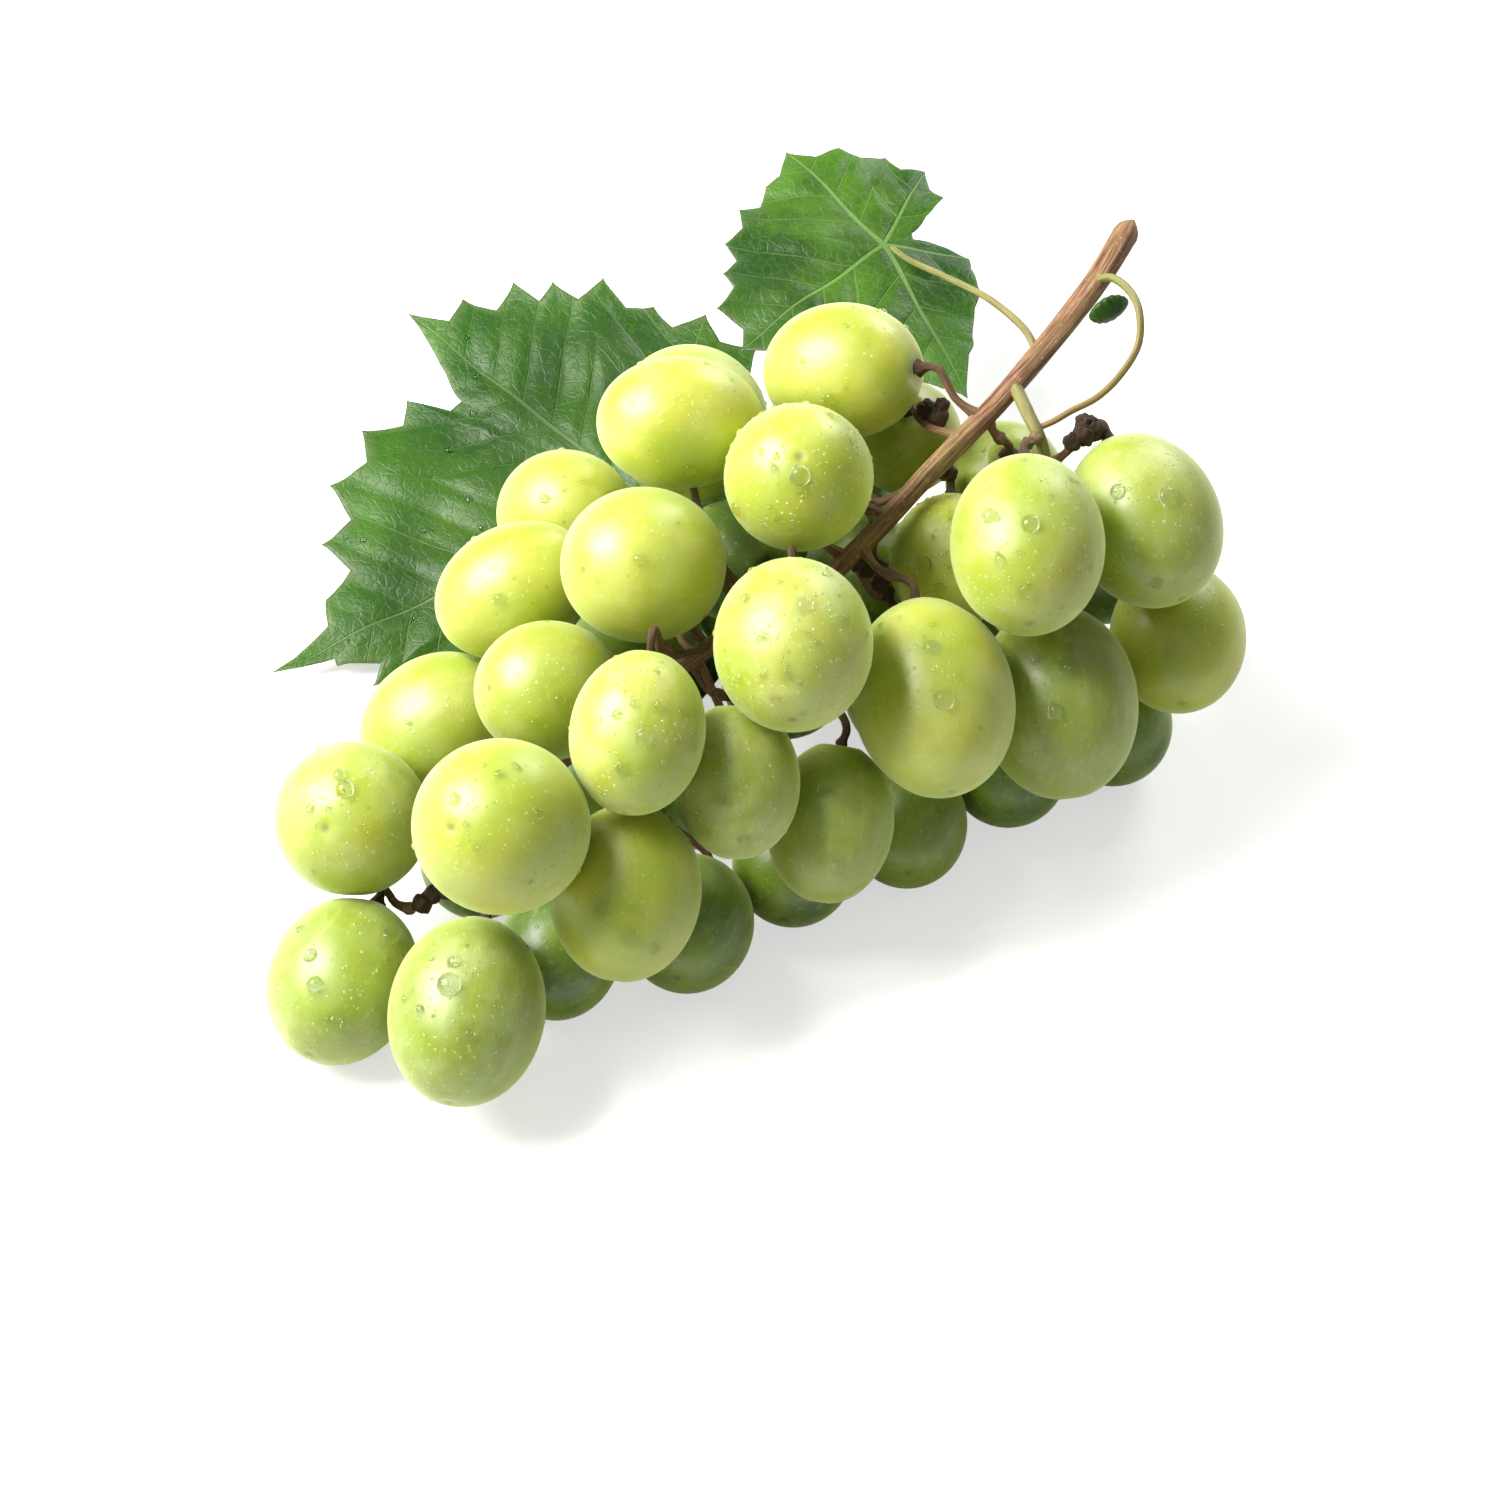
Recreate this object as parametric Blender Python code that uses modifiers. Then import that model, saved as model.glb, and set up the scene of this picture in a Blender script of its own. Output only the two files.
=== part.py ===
"""A bunch of white table grapes, as picked, lying on its side on a flat surface.

The woody stem is one piece: the main stem, the branch that carries the shoulder of the bunch, and the
short stalk of every berry. Each berry is a piece of its own. Two leaves, their stalks, a tendril and a young
leaflet complete the bunch. Sizes and places are in millimetres and are turned to metres where a mesh is
made: X runs along the bunch from its tip to its stem, the surface is the XY plane, and +Z is up. At the end
the whole bunch is moved so that the middle of its box stands over the origin.
"""

import math

import bmesh
import bpy
import numpy as np
from mathutils import Vector

MM = 0.001

# Driving sizes
TOUCH_GAP = 0.3
BERRY_SEGMENTS = 10
BERRY_RINGS = 7
STALK_RADIUS = 0.8
STALK_END_RADIUS = 1.4
STALK_KNEE = 3.0
STALK_SAMPLES = 4
LEAF_THICKNESS = 0.6
LEAF_RINGS = 3
LEAF_CLEARANCE = 1.2
LEAF_SOFTNESS = 1.2
LEAF_EDGE_Y = 24.0
BERRY_OVER_LEAF = 2.2
LEAF_STALK_RADIUS = 0.9
TENDRIL_RADIUS = 0.6
LEAFLET_SIZE = (3.4, 1.6, 2.4)
SETTLE_ROUNDS = 900
PUSH_SHARE = 0.4
RETURN_SHARE = 0.02
SAMPLES_PER_STEM_RUN = 6
MERGE_TUBE = 0.01
MERGE_LEAF = 0.05

# Places along the two woody branches: x, y, z and radius
MAIN_STEM = [
    (-52, 2, 14, 0.9),
    (-32, 8, 20, 1.1),
    (-12, 10, 28, 1.3),
    (3, 8, 36, 1.5),
    (17, 6, 42, 1.6),
    (36, 10, 50, 1.7),
    (50, 13, 56, 1.8),
    (66, 19, 61, 2.0),
    (77, 25, 65, 2.2),
]
SHOULDER = [
    (50, 13, 56, 1.1),
    (48, 6, 57, 1.1),
    (48, 2, 54, 1.0),
    (49, 0, 43, 1.0),
    (50, -2, 28, 0.9),
]

# Every berry: where its middle is, its width and length, and which way it points from its stalk, as a
# heading from +X and a pitch above the level, in degrees
BERRIES = [
    # round the tip
    ((-65, -1, 10), 20, 24, (-140, -10)),
    ((-55, -19, 16), 21, 26, (-130, -20)),
    ((-55, 13, 22), 21, 22, (-140, 40)),
    ((-45, -13, 42), 23, 25, (-160, 40)),
    ((-36, 22, 20), 20, 23, (170, -30)),
    ((-37, -11, 9), 17, 19, (-130, 0)),
    # the top row and the side that faces up
    ((-26, 10, 37), 19, 21, (180, 30)),
    ((-22, 29, 35), 18, 23, (170, -20)),
    ((-9, 12, 49), 21, 24, (-170, 30)),
    ((6, 27, 56), 18, 23, (160, 10)),
    ((14, 41, 42), 22, 24, (60, -20)),
    ((-7, 41, 34), 18, 20, (120, -30)),
    ((11, 8, 57), 20, 22, (-120, 60)),
    ((33, 28, 53), 19, 23, (130, -20)),
    # the near side
    ((-24, -12, 48), 18, 22, (-130, -30)),
    ((-2, -13, 52), 21, 24, (-120, -10)),
    ((-29, -19, 28), 20, 24, (-130, -40)),
    ((-11, -17, 35), 17, 21, (-120, -40)),
    ((0, -18, 23), 17, 22, (-130, -40)),
    ((17, -19, 38), 22, 28, (-110, -20)),
    ((31, 7, 36), 17, 19, (-120, -20)),
    ((48, 12, 37), 17, 18, (60, -70)),
    ((38, 25, 34), 16, 17, (60, -70)),
    # the shoulder
    ((36, -13, 54), 21, 26, (-120, -10)),
    ((58, -10, 44), 21, 25, (-96, -22)),
    ((60, -15, 24), 19, 22, (-120, -10)),
    ((38, -20, 28), 22, 27, (-110, -40)),
    # the underside, on the surface
    ((-17, -15, 9), 18, 20, (-130, 0)),
    ((2, -13, 9), 17, 18, (-130, -10)),
    ((18, -13, 9), 17, 19, (-120, 0)),
    ((34, -13, 9), 17, 18, (-120, 0)),
    ((50, -13, 9), 17, 18, (-120, 0)),
    # the middle and the far side, which the others hide from the near side
    ((-44, 5, 9), 17, 18, (180, -40)),
    ((-21, 12, 10), 18, 19, (150, -60)),
    ((-7, 3, 11), 18, 19, (-150, -60)),
    ((11, 23, 30), 17, 18, (100, -30)),
    ((9, 10, 19), 18, 19, (120, -60)),
    ((27, 19, 24), 17, 18, (80, -50)),
    ((24, -2, 20), 18, 19, (-100, -60)),
    ((42, 18, 12), 19, 20, (60, -60)),
    ((43, 0, 20), 17, 18, (-140, -60)),
    ((1, 35, 12), 19, 20, (130, -50)),
    ((-17, 29, 12), 17, 18, (150, -50)),
    ((20, 32, 12), 19, 20, (100, -50)),
    ((36, 36, 20), 18, 20, (90, -40)),
    ((62, 5, 22), 19, 20, (20, -50)),
]

# Leaf outlines, seen flat: the angle from the middle lobe in degrees and the distance of each tooth from
# the point where the leaf stalk joins the blade
LARGE_LEAF_HEADING = 176
LARGE_LEAF_JOINT = (14.6, 57.9)
LARGE_LEAF_LEVEL = 12.0
LARGE_LEAF_SLOPES = (0.17, 0.156)
LARGE_LEAF_FOLD_Y = 53.9
LARGE_LEAF_DROOP = 0.6
LARGE_LEAF_TEETH = [
    (-178, 8), (-165, 24), (-150, 31), (-133, 33), (-119, 34), (-107, 38.5), (-96, 40), (-89, 43.5),
    (-79, 45.5), (-70, 49.5), (-61, 33), (-55, 40.5), (-45, 44.5), (-31, 46.5), (-19, 47.5), (-8, 48.5),
    (0.5, 60), (4, 51), (10, 48), (15, 43), (24, 39), (42, 35), (54, 33), (66, 37), (80, 32), (95, 30),
    (112, 28), (130, 26), (148, 24), (165, 19), (178, 8),
]
SMALL_LEAF_HEADING = 176
SMALL_LEAF_JOINT = (66, 74)
SMALL_LEAF_LEVEL = 26.0
SMALL_LEAF_SLOPE = 0.1
SMALL_LEAF_DOME = 0.002
SMALL_LEAF_TEETH = [
    (-176, 5), (-158, 14), (-138, 18), (-118, 20), (-98, 21), (-80, 25), (-62, 22), (-44, 23), (-26, 24),
    (-12, 25), (0, 28), (16, 29), (32, 28), (48, 25), (64, 26), (88, 30), (101, 22), (122, 17), (150, 13),
    (176, 5),
]
NOTCH_DEPTH = 0.07
NOTCH_SHARE = 0.6

# Routes of the thin green pieces
LARGE_LEAF_STALK = [
    (25, 10, 46), (24.5, 20, 44), (26, 32, 38), (28, 42, 30), (24, 50, 20.5), (17, 56.5, 14.3),
]
SMALL_LEAF_STALK = [(56, 20.5, 58), (59, 34, 51), (63, 52, 39), (65.5, 66, 30), (66, 72, 27.6)]
TENDRIL = [
    (68, 16.5, 65), (68, 12, 66), (67, 8, 65.5), (65, 5, 63), (61, 3, 61), (57, 2.5, 59), (53, 3, 58),
    (50.5, 3, 57.5),
]
LEAFLET_PLACE = (66, 14, 62)


def remove_all_objects():
    """Empty the scene."""
    for item in list(bpy.data.objects):
        bpy.data.objects.remove(item, do_unlink=True)


def new_collection(name):
    """Make a collection in the scene."""
    collection = bpy.data.collections.new(name)
    bpy.context.scene.collection.children.link(collection)
    return collection


def new_material(name, colour, roughness):
    """Make a plain material."""
    material = bpy.data.materials.new(name)
    material.use_nodes = True
    shader = material.node_tree.nodes["Principled BSDF"]
    shader.inputs["Base Color"].default_value = (*colour, 1.0)
    shader.inputs["Roughness"].default_value = roughness
    shader.inputs["Metallic"].default_value = 0.0
    return material


def add_object(name, mesh, collection, parent, material):
    """Put a mesh in the scene as a named part."""
    item = bpy.data.objects.new(name, mesh)
    collection.objects.link(item)
    item.parent = parent
    mesh.materials.clear()
    mesh.materials.append(material)
    mesh.shade_smooth()
    return item


def smooth_route(points, per_run):
    """Read a smooth Catmull-Rom curve through the points, per_run samples between two of them."""
    knots = np.array(points, dtype=float)
    padded = np.vstack([2 * knots[0] - knots[1], knots, 2 * knots[-1] - knots[-2]])
    route = []
    for i in range(len(knots) - 1):
        before, start, end, after = padded[i : i + 4]
        for t in np.arange(per_run) / per_run:
            bend = 2 * start + (end - before) * t + (2 * before - 5 * start + 4 * end - after) * t**2
            route.append((bend + (3 * start - before - 3 * end + after) * t**3) / 2)
    route.append(knots[-1])
    return np.array(route)


def half_extent(axis, half_width, half_length, direction):
    """How far a berry reaches from its middle along a direction: the support of a spheroid."""
    along = np.sum(axis * direction, axis=-1)
    return np.sqrt(half_width**2 + (half_length**2 - half_width**2) * along**2)


def pointing(heading, pitch):
    """The unit vector of a heading and a pitch in degrees."""
    turn = math.radians(heading)
    rise = math.radians(pitch)
    return (math.cos(rise) * math.cos(turn), math.cos(rise) * math.sin(turn), math.sin(rise))


def stalk_routes(centres, axes, half_length, wood):
    """Every stalk: from the nearest wood to a knee behind its berry, and on to the berry's end."""
    ends = centres - axes * (half_length + TOUCH_GAP)[:, None]
    knees = ends - axes * STALK_KNEE
    apart = np.linalg.norm(knees[:, None] - wood[None, :, :3], axis=2)
    roots = wood[apart.argmin(axis=1), :3]
    return roots, knees, ends


def settle(centres, axes, half_width, half_length, wood):
    """Push berries apart until none overlaps another, the wood, a stalk or the surface."""
    design = centres.copy()
    rows = np.arange(len(centres))
    low = half_extent(axes, half_width, half_length, np.array([0.0, 0.0, 1.0]))
    steps = np.arange(1, STALK_SAMPLES + 1)[:, None, None] / STALK_SAMPLES
    for turn in range(SETTLE_ROUNDS):
        between = centres[:, None] - centres[None]
        apart = np.linalg.norm(between, axis=2) + np.eye(len(rows)) / MM
        direction = between / apart[..., None]
        first = half_extent(axes[:, None], half_width[:, None], half_length[:, None], direction)
        second = half_extent(axes[None], half_width[None], half_length[None], direction)
        overlap = np.maximum(0, first + second + TOUCH_GAP - apart)
        push = PUSH_SHARE * (direction * overlap[..., None]).sum(axis=1)

        roots, knees, ends = stalk_routes(centres, axes, half_length, wood)
        lower = roots + (knees - roots) * steps
        upper = knees + (ends - knees) * steps
        stalks = np.vstack([lower.reshape(-1, 3), upper.reshape(-1, 3)])
        thickness = np.repeat((STALK_RADIUS, STALK_END_RADIUS), len(stalks) // 2)
        obstacles = np.vstack([wood, np.column_stack([stalks, thickness])])
        owner = np.concatenate([np.full(len(wood), -1), np.tile(rows, 2 * STALK_SAMPLES)])
        between = centres[:, None] - obstacles[None, :, :3]
        apart = np.linalg.norm(between, axis=2)
        direction = between / apart[..., None]
        reach = half_extent(axes[:, None], half_width[:, None], half_length[:, None], direction)
        overlap = np.maximum(0, reach + obstacles[None, :, 3] + TOUCH_GAP - apart)
        overlap[rows[:, None] == owner[None]] = 0
        worst = overlap.argmax(axis=1)
        push += PUSH_SHARE * direction[rows, worst] * overlap[rows, worst][:, None]

        rest = np.where(centres[:, 1] > LEAF_EDGE_Y, BERRY_OVER_LEAF, 0.0)
        push[:, 2] += np.maximum(0, rest + low - centres[:, 2])
        if turn < SETTLE_ROUNDS // 2:
            push += (design - centres) * RETURN_SHARE
        centres = centres + push
    return centres


def tube_mesh(name, points, radii, sides_level):
    """A closed tube along points: a poly curve with its own radius at each point."""
    curve = bpy.data.curves.new(name, "CURVE")
    curve.dimensions = "3D"
    curve.bevel_depth = MM
    curve.bevel_resolution = sides_level
    curve.use_fill_caps = True
    spline = curve.splines.new("POLY")
    spline.points.add(len(points) - 1)
    for knot, place, radius in zip(spline.points, points, radii):
        knot.co = (*(Vector(place) * MM), 1.0)
        knot.radius = radius
    guide = bpy.data.objects.new(name, curve)
    bpy.context.scene.collection.objects.link(guide)
    evaluated = guide.evaluated_get(bpy.context.evaluated_depsgraph_get())
    mesh = bpy.data.meshes.new_from_object(evaluated)
    bpy.data.objects.remove(guide, do_unlink=True)
    bpy.data.curves.remove(curve)
    shape = bmesh.new()
    shape.from_mesh(mesh)
    bmesh.ops.remove_doubles(shape, verts=shape.verts, dist=MERGE_TUBE * MM)
    bmesh.ops.recalc_face_normals(shape, faces=shape.faces)
    shape.to_mesh(mesh)
    shape.free()
    return mesh


def add_berry(name, centre, axis, width, length, collection, parent, material):
    """A berry: a sphere stretched along the line of its stalk."""
    shape = bmesh.new()
    bmesh.ops.create_uvsphere(shape, u_segments=BERRY_SEGMENTS, v_segments=BERRY_RINGS, radius=0.5)
    bmesh.ops.scale(shape, verts=shape.verts, vec=(width * MM, width * MM, length * MM))
    mesh = bpy.data.meshes.new(name)
    shape.to_mesh(mesh)
    shape.free()
    berry = add_object(name, mesh, collection, parent, material)
    berry.location = Vector(centre) * MM
    berry.rotation_euler = Vector(axis).to_track_quat("Z", "Y").to_euler()
    return berry


def add_stem(main, shoulder, stalks, collection, helpers, parent, material):
    """The woody stem: the two branches and every stalk, joined into one body."""
    trunk_mesh = tube_mesh("stem", main[:, :3], main[:, 3], 2)
    stem = add_object("stem", trunk_mesh, collection, parent, material)
    tubes = [tube_mesh("shoulder_branch", shoulder[:, :3], shoulder[:, 3], 1)]
    for line in zip(*stalks):
        tubes.append(tube_mesh("stalk", line, (STALK_RADIUS, STALK_RADIUS, STALK_END_RADIUS), 1))
    for i, mesh in enumerate(tubes):
        tube = bpy.data.objects.new(f"stalk_{i:02d}", mesh)
        tube.hide_render = True
        tube.display_type = "WIRE"
        tube.parent = parent
        helpers.objects.link(tube)
    join = stem.modifiers.new("join_stalks", "BOOLEAN")
    join.operation = "UNION"
    join.operand_type = "COLLECTION"
    join.collection = helpers
    join.solver = "EXACT"
    return stem


def leaf_outline(teeth):
    """The outline as angles and distances: a notch between each two teeth, nearer the second."""
    outline = []
    for (angle, reach), (next_angle, next_reach) in zip(teeth, teeth[1:]):
        outline.append((angle, reach))
        notch = 0.5 * (reach + next_reach) * (1 - NOTCH_DEPTH)
        outline.append((angle + NOTCH_SHARE * (next_angle - angle), notch))
    outline.append(teeth[-1])
    return np.array(outline)


def large_leaf_height(x, y):
    """The large leaf slopes up away from the bunch and lies on the surface under it."""
    along = LARGE_LEAF_SLOPES[0] * (x - LARGE_LEAF_JOINT[0])
    beside = LARGE_LEAF_SLOPES[1] * (y - LARGE_LEAF_JOINT[1])
    droop = LARGE_LEAF_DROOP * np.maximum(0, LARGE_LEAF_FOLD_Y - y)
    slope = LARGE_LEAF_LEVEL + along + beside - droop
    return LEAF_CLEARANCE + LEAF_SOFTNESS * np.log1p(np.exp((slope - LEAF_CLEARANCE) / LEAF_SOFTNESS))


def small_leaf_height(x, y):
    """The small leaf hangs from its stalk, its lobes a little lower than its middle."""
    away = np.hypot(x - SMALL_LEAF_JOINT[0], y - SMALL_LEAF_JOINT[1])
    return SMALL_LEAF_LEVEL + SMALL_LEAF_SLOPE * (y - SMALL_LEAF_JOINT[1]) - SMALL_LEAF_DOME * away**2


def add_leaf(name, teeth, heading, joint, height, collection, parent, material):
    """A leaf blade: rings of the toothed outline, laid over a height function and given a thickness."""
    outline = leaf_outline(teeth)
    shape = bmesh.new()
    bmesh.ops.create_grid(shape, x_segments=len(outline) - 1, y_segments=LEAF_RINGS, size=0.5)
    for vertex in shape.verts:
        along = (vertex.co.x + 0.5) * (len(outline) - 1)
        ring = vertex.co.y + 0.5
        angle = math.radians(heading + np.interp(along, np.arange(len(outline)), outline[:, 0]))
        reach = ring * np.interp(along, np.arange(len(outline)), outline[:, 1])
        x = joint[0] + reach * math.cos(angle)
        y = joint[1] + reach * math.sin(angle)
        vertex.co = Vector((x, y, height(x, y))) * MM
    bmesh.ops.remove_doubles(shape, verts=shape.verts, dist=MERGE_LEAF * MM)
    bmesh.ops.recalc_face_normals(shape, faces=shape.faces)
    mesh = bpy.data.meshes.new(name)
    shape.to_mesh(mesh)
    shape.free()
    leaf = add_object(name, mesh, collection, parent, material)
    skin = leaf.modifiers.new("thickness", "SOLIDIFY")
    skin.thickness = LEAF_THICKNESS * MM
    skin.offset = 0.0
    return leaf


def add_thin_piece(name, points, radius, collection, parent, material):
    """A leaf stalk or a tendril: a thin tube on a smooth route."""
    route = smooth_route(points, 3)
    mesh = tube_mesh(name, route, np.full(len(route), radius), 1)
    return add_object(name, mesh, collection, parent, material)


def add_leaflet(collection, parent, material):
    """The young leaflet at the foot of the tendril: a small flattened egg."""
    shape = bmesh.new()
    bmesh.ops.create_uvsphere(shape, u_segments=8, v_segments=6, radius=1.0)
    bmesh.ops.scale(shape, verts=shape.verts, vec=Vector(LEAFLET_SIZE) * MM)
    mesh = bpy.data.meshes.new("leaflet")
    shape.to_mesh(mesh)
    shape.free()
    leaflet = add_object("leaflet", mesh, collection, parent, material)
    leaflet.location = Vector(LEAFLET_PLACE) * MM
    return leaflet


def stand_on_origin(frame, collection):
    """Move the parent of all parts so that their box stands over the origin."""
    bpy.context.view_layer.update()
    depsgraph = bpy.context.evaluated_depsgraph_get()
    corners = []
    for item in collection.objects:
        if item.type == "MESH":
            evaluated = item.evaluated_get(depsgraph)
            corners += [evaluated.matrix_world @ vertex.co for vertex in evaluated.data.vertices]
    corners = np.array(corners)
    low = corners.min(axis=0)
    high = corners.max(axis=0)
    frame.location = (-(low[0] + high[0]) / 2, -(low[1] + high[1]) / 2, -low[2])
    bpy.context.view_layer.update()
    return low, high


def build():
    """Make the whole bunch."""
    remove_all_objects()
    parts = new_collection("bunch_of_grapes")
    helpers = new_collection("cutters")
    frame = bpy.data.objects.new("bunch_frame", None)
    parts.objects.link(frame)

    skin = new_material("berry_skin", (0.45, 0.52, 0.06), 0.3)
    bark = new_material("stem_wood", (0.33, 0.17, 0.08), 0.6)
    blade = new_material("leaf_blade", (0.06, 0.2, 0.04), 0.5)
    green = new_material("green_stalk", (0.25, 0.28, 0.07), 0.5)

    main = smooth_route(MAIN_STEM, SAMPLES_PER_STEM_RUN)
    shoulder = smooth_route(SHOULDER, SAMPLES_PER_STEM_RUN)
    wood = np.vstack([main, shoulder])
    planned = np.array([place for place, *_ in BERRIES], dtype=float)
    half_width = np.array([width for _, width, _, _ in BERRIES]) / 2
    half_length = np.array([length for _, _, length, _ in BERRIES]) / 2
    axes = np.array([pointing(*lean) for *_, lean in BERRIES])
    centres = settle(planned, axes, half_width, half_length, wood)

    for i, centre in enumerate(centres):
        name = f"berry_{i + 1:02d}"
        add_berry(name, centre, axes[i], 2 * half_width[i], 2 * half_length[i], parts, frame, skin)
    stalks = stalk_routes(centres, axes, half_length, wood)
    add_stem(main, shoulder, stalks, parts, helpers, frame, bark)
    large = (LARGE_LEAF_TEETH, LARGE_LEAF_HEADING, LARGE_LEAF_JOINT, large_leaf_height)
    add_leaf("leaf_large", *large, parts, frame, blade)
    small = (SMALL_LEAF_TEETH, SMALL_LEAF_HEADING, SMALL_LEAF_JOINT, small_leaf_height)
    add_leaf("leaf_small", *small, parts, frame, blade)
    add_thin_piece("leaf_large_stalk", LARGE_LEAF_STALK, LEAF_STALK_RADIUS, parts, frame, green)
    add_thin_piece("leaf_small_stalk", SMALL_LEAF_STALK, LEAF_STALK_RADIUS, parts, frame, green)
    add_thin_piece("tendril", TENDRIL, TENDRIL_RADIUS, parts, frame, green)
    add_leaflet(parts, frame, green)
    return stand_on_origin(frame, parts), planned, centres, axes


if __name__ == "__main__":
    build()
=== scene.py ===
# %% [markdown]
# # A bunch of white table grapes
#
# This lesson dresses a plain solid model of a bunch of grapes. The solid model settles where every
# berry, stem and leaf is, and nothing here moves them. Each berry, leaf and stalk gets a fine surface,
# worked out as whole arrays with numpy, and a material made of nodes.
#
# The bunch lies on its side. X runs along it from its tip to the cut end of its stem, and Z is up.

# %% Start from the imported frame
import math

import bpy
import numpy as np
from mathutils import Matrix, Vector


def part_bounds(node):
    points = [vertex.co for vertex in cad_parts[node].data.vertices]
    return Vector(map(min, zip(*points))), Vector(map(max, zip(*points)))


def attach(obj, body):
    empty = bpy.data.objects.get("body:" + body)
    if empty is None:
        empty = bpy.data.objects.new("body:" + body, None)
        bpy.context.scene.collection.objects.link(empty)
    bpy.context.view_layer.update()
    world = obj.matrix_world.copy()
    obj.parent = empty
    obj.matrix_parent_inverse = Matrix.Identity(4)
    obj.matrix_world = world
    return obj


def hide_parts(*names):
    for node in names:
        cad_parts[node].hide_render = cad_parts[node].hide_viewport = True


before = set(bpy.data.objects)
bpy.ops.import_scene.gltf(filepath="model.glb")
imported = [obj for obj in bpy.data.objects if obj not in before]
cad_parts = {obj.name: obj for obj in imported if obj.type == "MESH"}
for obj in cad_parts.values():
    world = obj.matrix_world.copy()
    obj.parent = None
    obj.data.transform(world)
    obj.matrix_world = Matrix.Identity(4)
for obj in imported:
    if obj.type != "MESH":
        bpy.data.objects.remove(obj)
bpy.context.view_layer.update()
MM = 0.001

# %% [markdown]
# ## Routes of the long pieces
#
# The woody stem, the leaf stalks and the tendril follow smooth curves through a few given points. The
# points are the solid model's own, in millimetres. The solid model was moved afterwards so that its
# box stands over the origin, and the solid of one thin stalk says by how much.

# %% The points of each route
MAIN_STEM = [
    (-52, 2, 14, 0.9),
    (-32, 8, 20, 1.1),
    (-12, 10, 28, 1.3),
    (3, 8, 36, 1.5),
    (17, 6, 42, 1.6),
    (36, 10, 50, 1.7),
    (50, 13, 56, 1.8),
    (66, 19, 61, 2.0),
    (77, 25, 65, 2.2),
]
SHOULDER = [
    (50, 13, 56, 1.1),
    (48, 6, 57, 1.1),
    (48, 2, 54, 1.0),
    (49, 0, 43, 1.0),
    (50, -2, 28, 0.9),
]
LARGE_LEAF_STALK = [
    (25, 10, 46), (24.5, 20, 44), (26, 32, 38), (28, 42, 30), (24, 50, 20.5), (17, 56.5, 14.3),
]
SMALL_LEAF_STALK = [(56, 20.5, 58), (59, 34, 51), (63, 52, 39), (65.5, 66, 30), (66, 72, 27.6)]
TENDRIL = [
    (68, 16.5, 65), (68, 12, 66), (67, 8, 65.5), (65, 5, 63), (61, 3, 61), (57, 2.5, 59), (53, 3, 57.8),
    (50.5, 3.2, 57.0), (48.4, 3.8, 56.2),
]


def box_middle(node):
    """The middle of a solid's box, in millimetres."""
    low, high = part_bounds(node)
    return np.array((low + high) / 2) / MM


def smooth_route(points, per_run):
    """A Catmull-Rom curve: cubic runs whose slope at a point is half the step between its neighbours."""
    knots = np.array(points, dtype=float)
    padded = np.vstack([2 * knots[0] - knots[1], knots, 2 * knots[-1] - knots[-2]])
    before, start, end, after = (padded[k : k + len(knots) - 1, None] for k in range(4))
    t = (np.arange(per_run) / per_run)[None, :, None]
    first = 2 * start + (end - before) * t + (2 * before - 5 * start + 4 * end - after) * t**2
    route = (first + (3 * start - before - 3 * end + after) * t**3) / 2
    return np.vstack([route.reshape(-1, knots.shape[1]), knots[-1:]])


stalk_route = smooth_route(SMALL_LEAF_STALK, 3)
SHIFT = box_middle("leaf_small_stalk") - (stalk_route.min(axis=0) + stalk_route.max(axis=0)) / 2
SHIFT[2] = 0.0
print("the bunch was moved by, millimetres:", SHIFT.round(2))

# %% [markdown]
# ## Camera, floor and light
#
# The camera looks down on the lying bunch from the near side of its tip, a little more than halfway up
# to straight above. It stands well back, so that the berries hardly change size from front to back. A
# white floor and a white sky give the plain studio, and a wide lamp, up and to the left, gives each
# berry the soft window of light that shows how round and waxy it is.

# %% Camera
CAMERA_TURN = math.radians(-30)
CAMERA_RISE = math.radians(48)
CAMERA_DISTANCE = 0.75
FIELD_WIDTH = 0.210
AIM = Vector((SHIFT[0], SHIFT[1], 20.0)) * MM


def camera_axes():
    """The camera's right, up and back directions: back leans up from level by the rise, turned about Z."""
    level = Vector((math.sin(CAMERA_TURN), -math.cos(CAMERA_TURN), 0))
    back = level * math.cos(CAMERA_RISE) + Vector((0, 0, math.sin(CAMERA_RISE)))
    right = Vector((math.cos(CAMERA_TURN), math.sin(CAMERA_TURN), 0))
    return right, back.cross(right), back


RIGHT, UP, BACK = camera_axes()
lens = bpy.data.cameras.new("camera")
lens.sensor_width = 36
lens.lens = 36 * CAMERA_DISTANCE / FIELD_WIDTH
lens.clip_start = 0.01
camera = bpy.data.objects.new("camera", lens)
camera.location = AIM + BACK * CAMERA_DISTANCE
camera.rotation_euler = BACK.to_track_quat("Z", "Y").to_euler()
bpy.context.collection.objects.link(camera)
bpy.context.scene.camera = camera
print("lens, millimetres:", round(lens.lens, 1))

# %% Floor and lamps
FLOOR_SIZE = 6.0
FLOOR_LIFT = 0.60
SKY_LIGHT = 0.22


def new_material(name):
    """A new node material: returns it, its node tree and its Principled shader."""
    material = bpy.data.materials.new(name)
    material.use_nodes = True
    return material, material.node_tree, material.node_tree.nodes["Principled BSDF"]


def add_lamp(name, away, size, power, colour):
    """A square lamp that points at the bunch; away is its place along the camera's own directions."""
    light = bpy.data.lights.new(name, "AREA")
    light.size = size
    light.energy = power
    light.color = colour
    lamp = bpy.data.objects.new(name, light)
    lamp.location = AIM + RIGHT * away[0] + UP * away[1] + BACK * away[2]
    lamp.rotation_euler = (lamp.location - AIM).to_track_quat("Z", "Y").to_euler()
    bpy.context.collection.objects.link(lamp)
    return lamp


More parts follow.
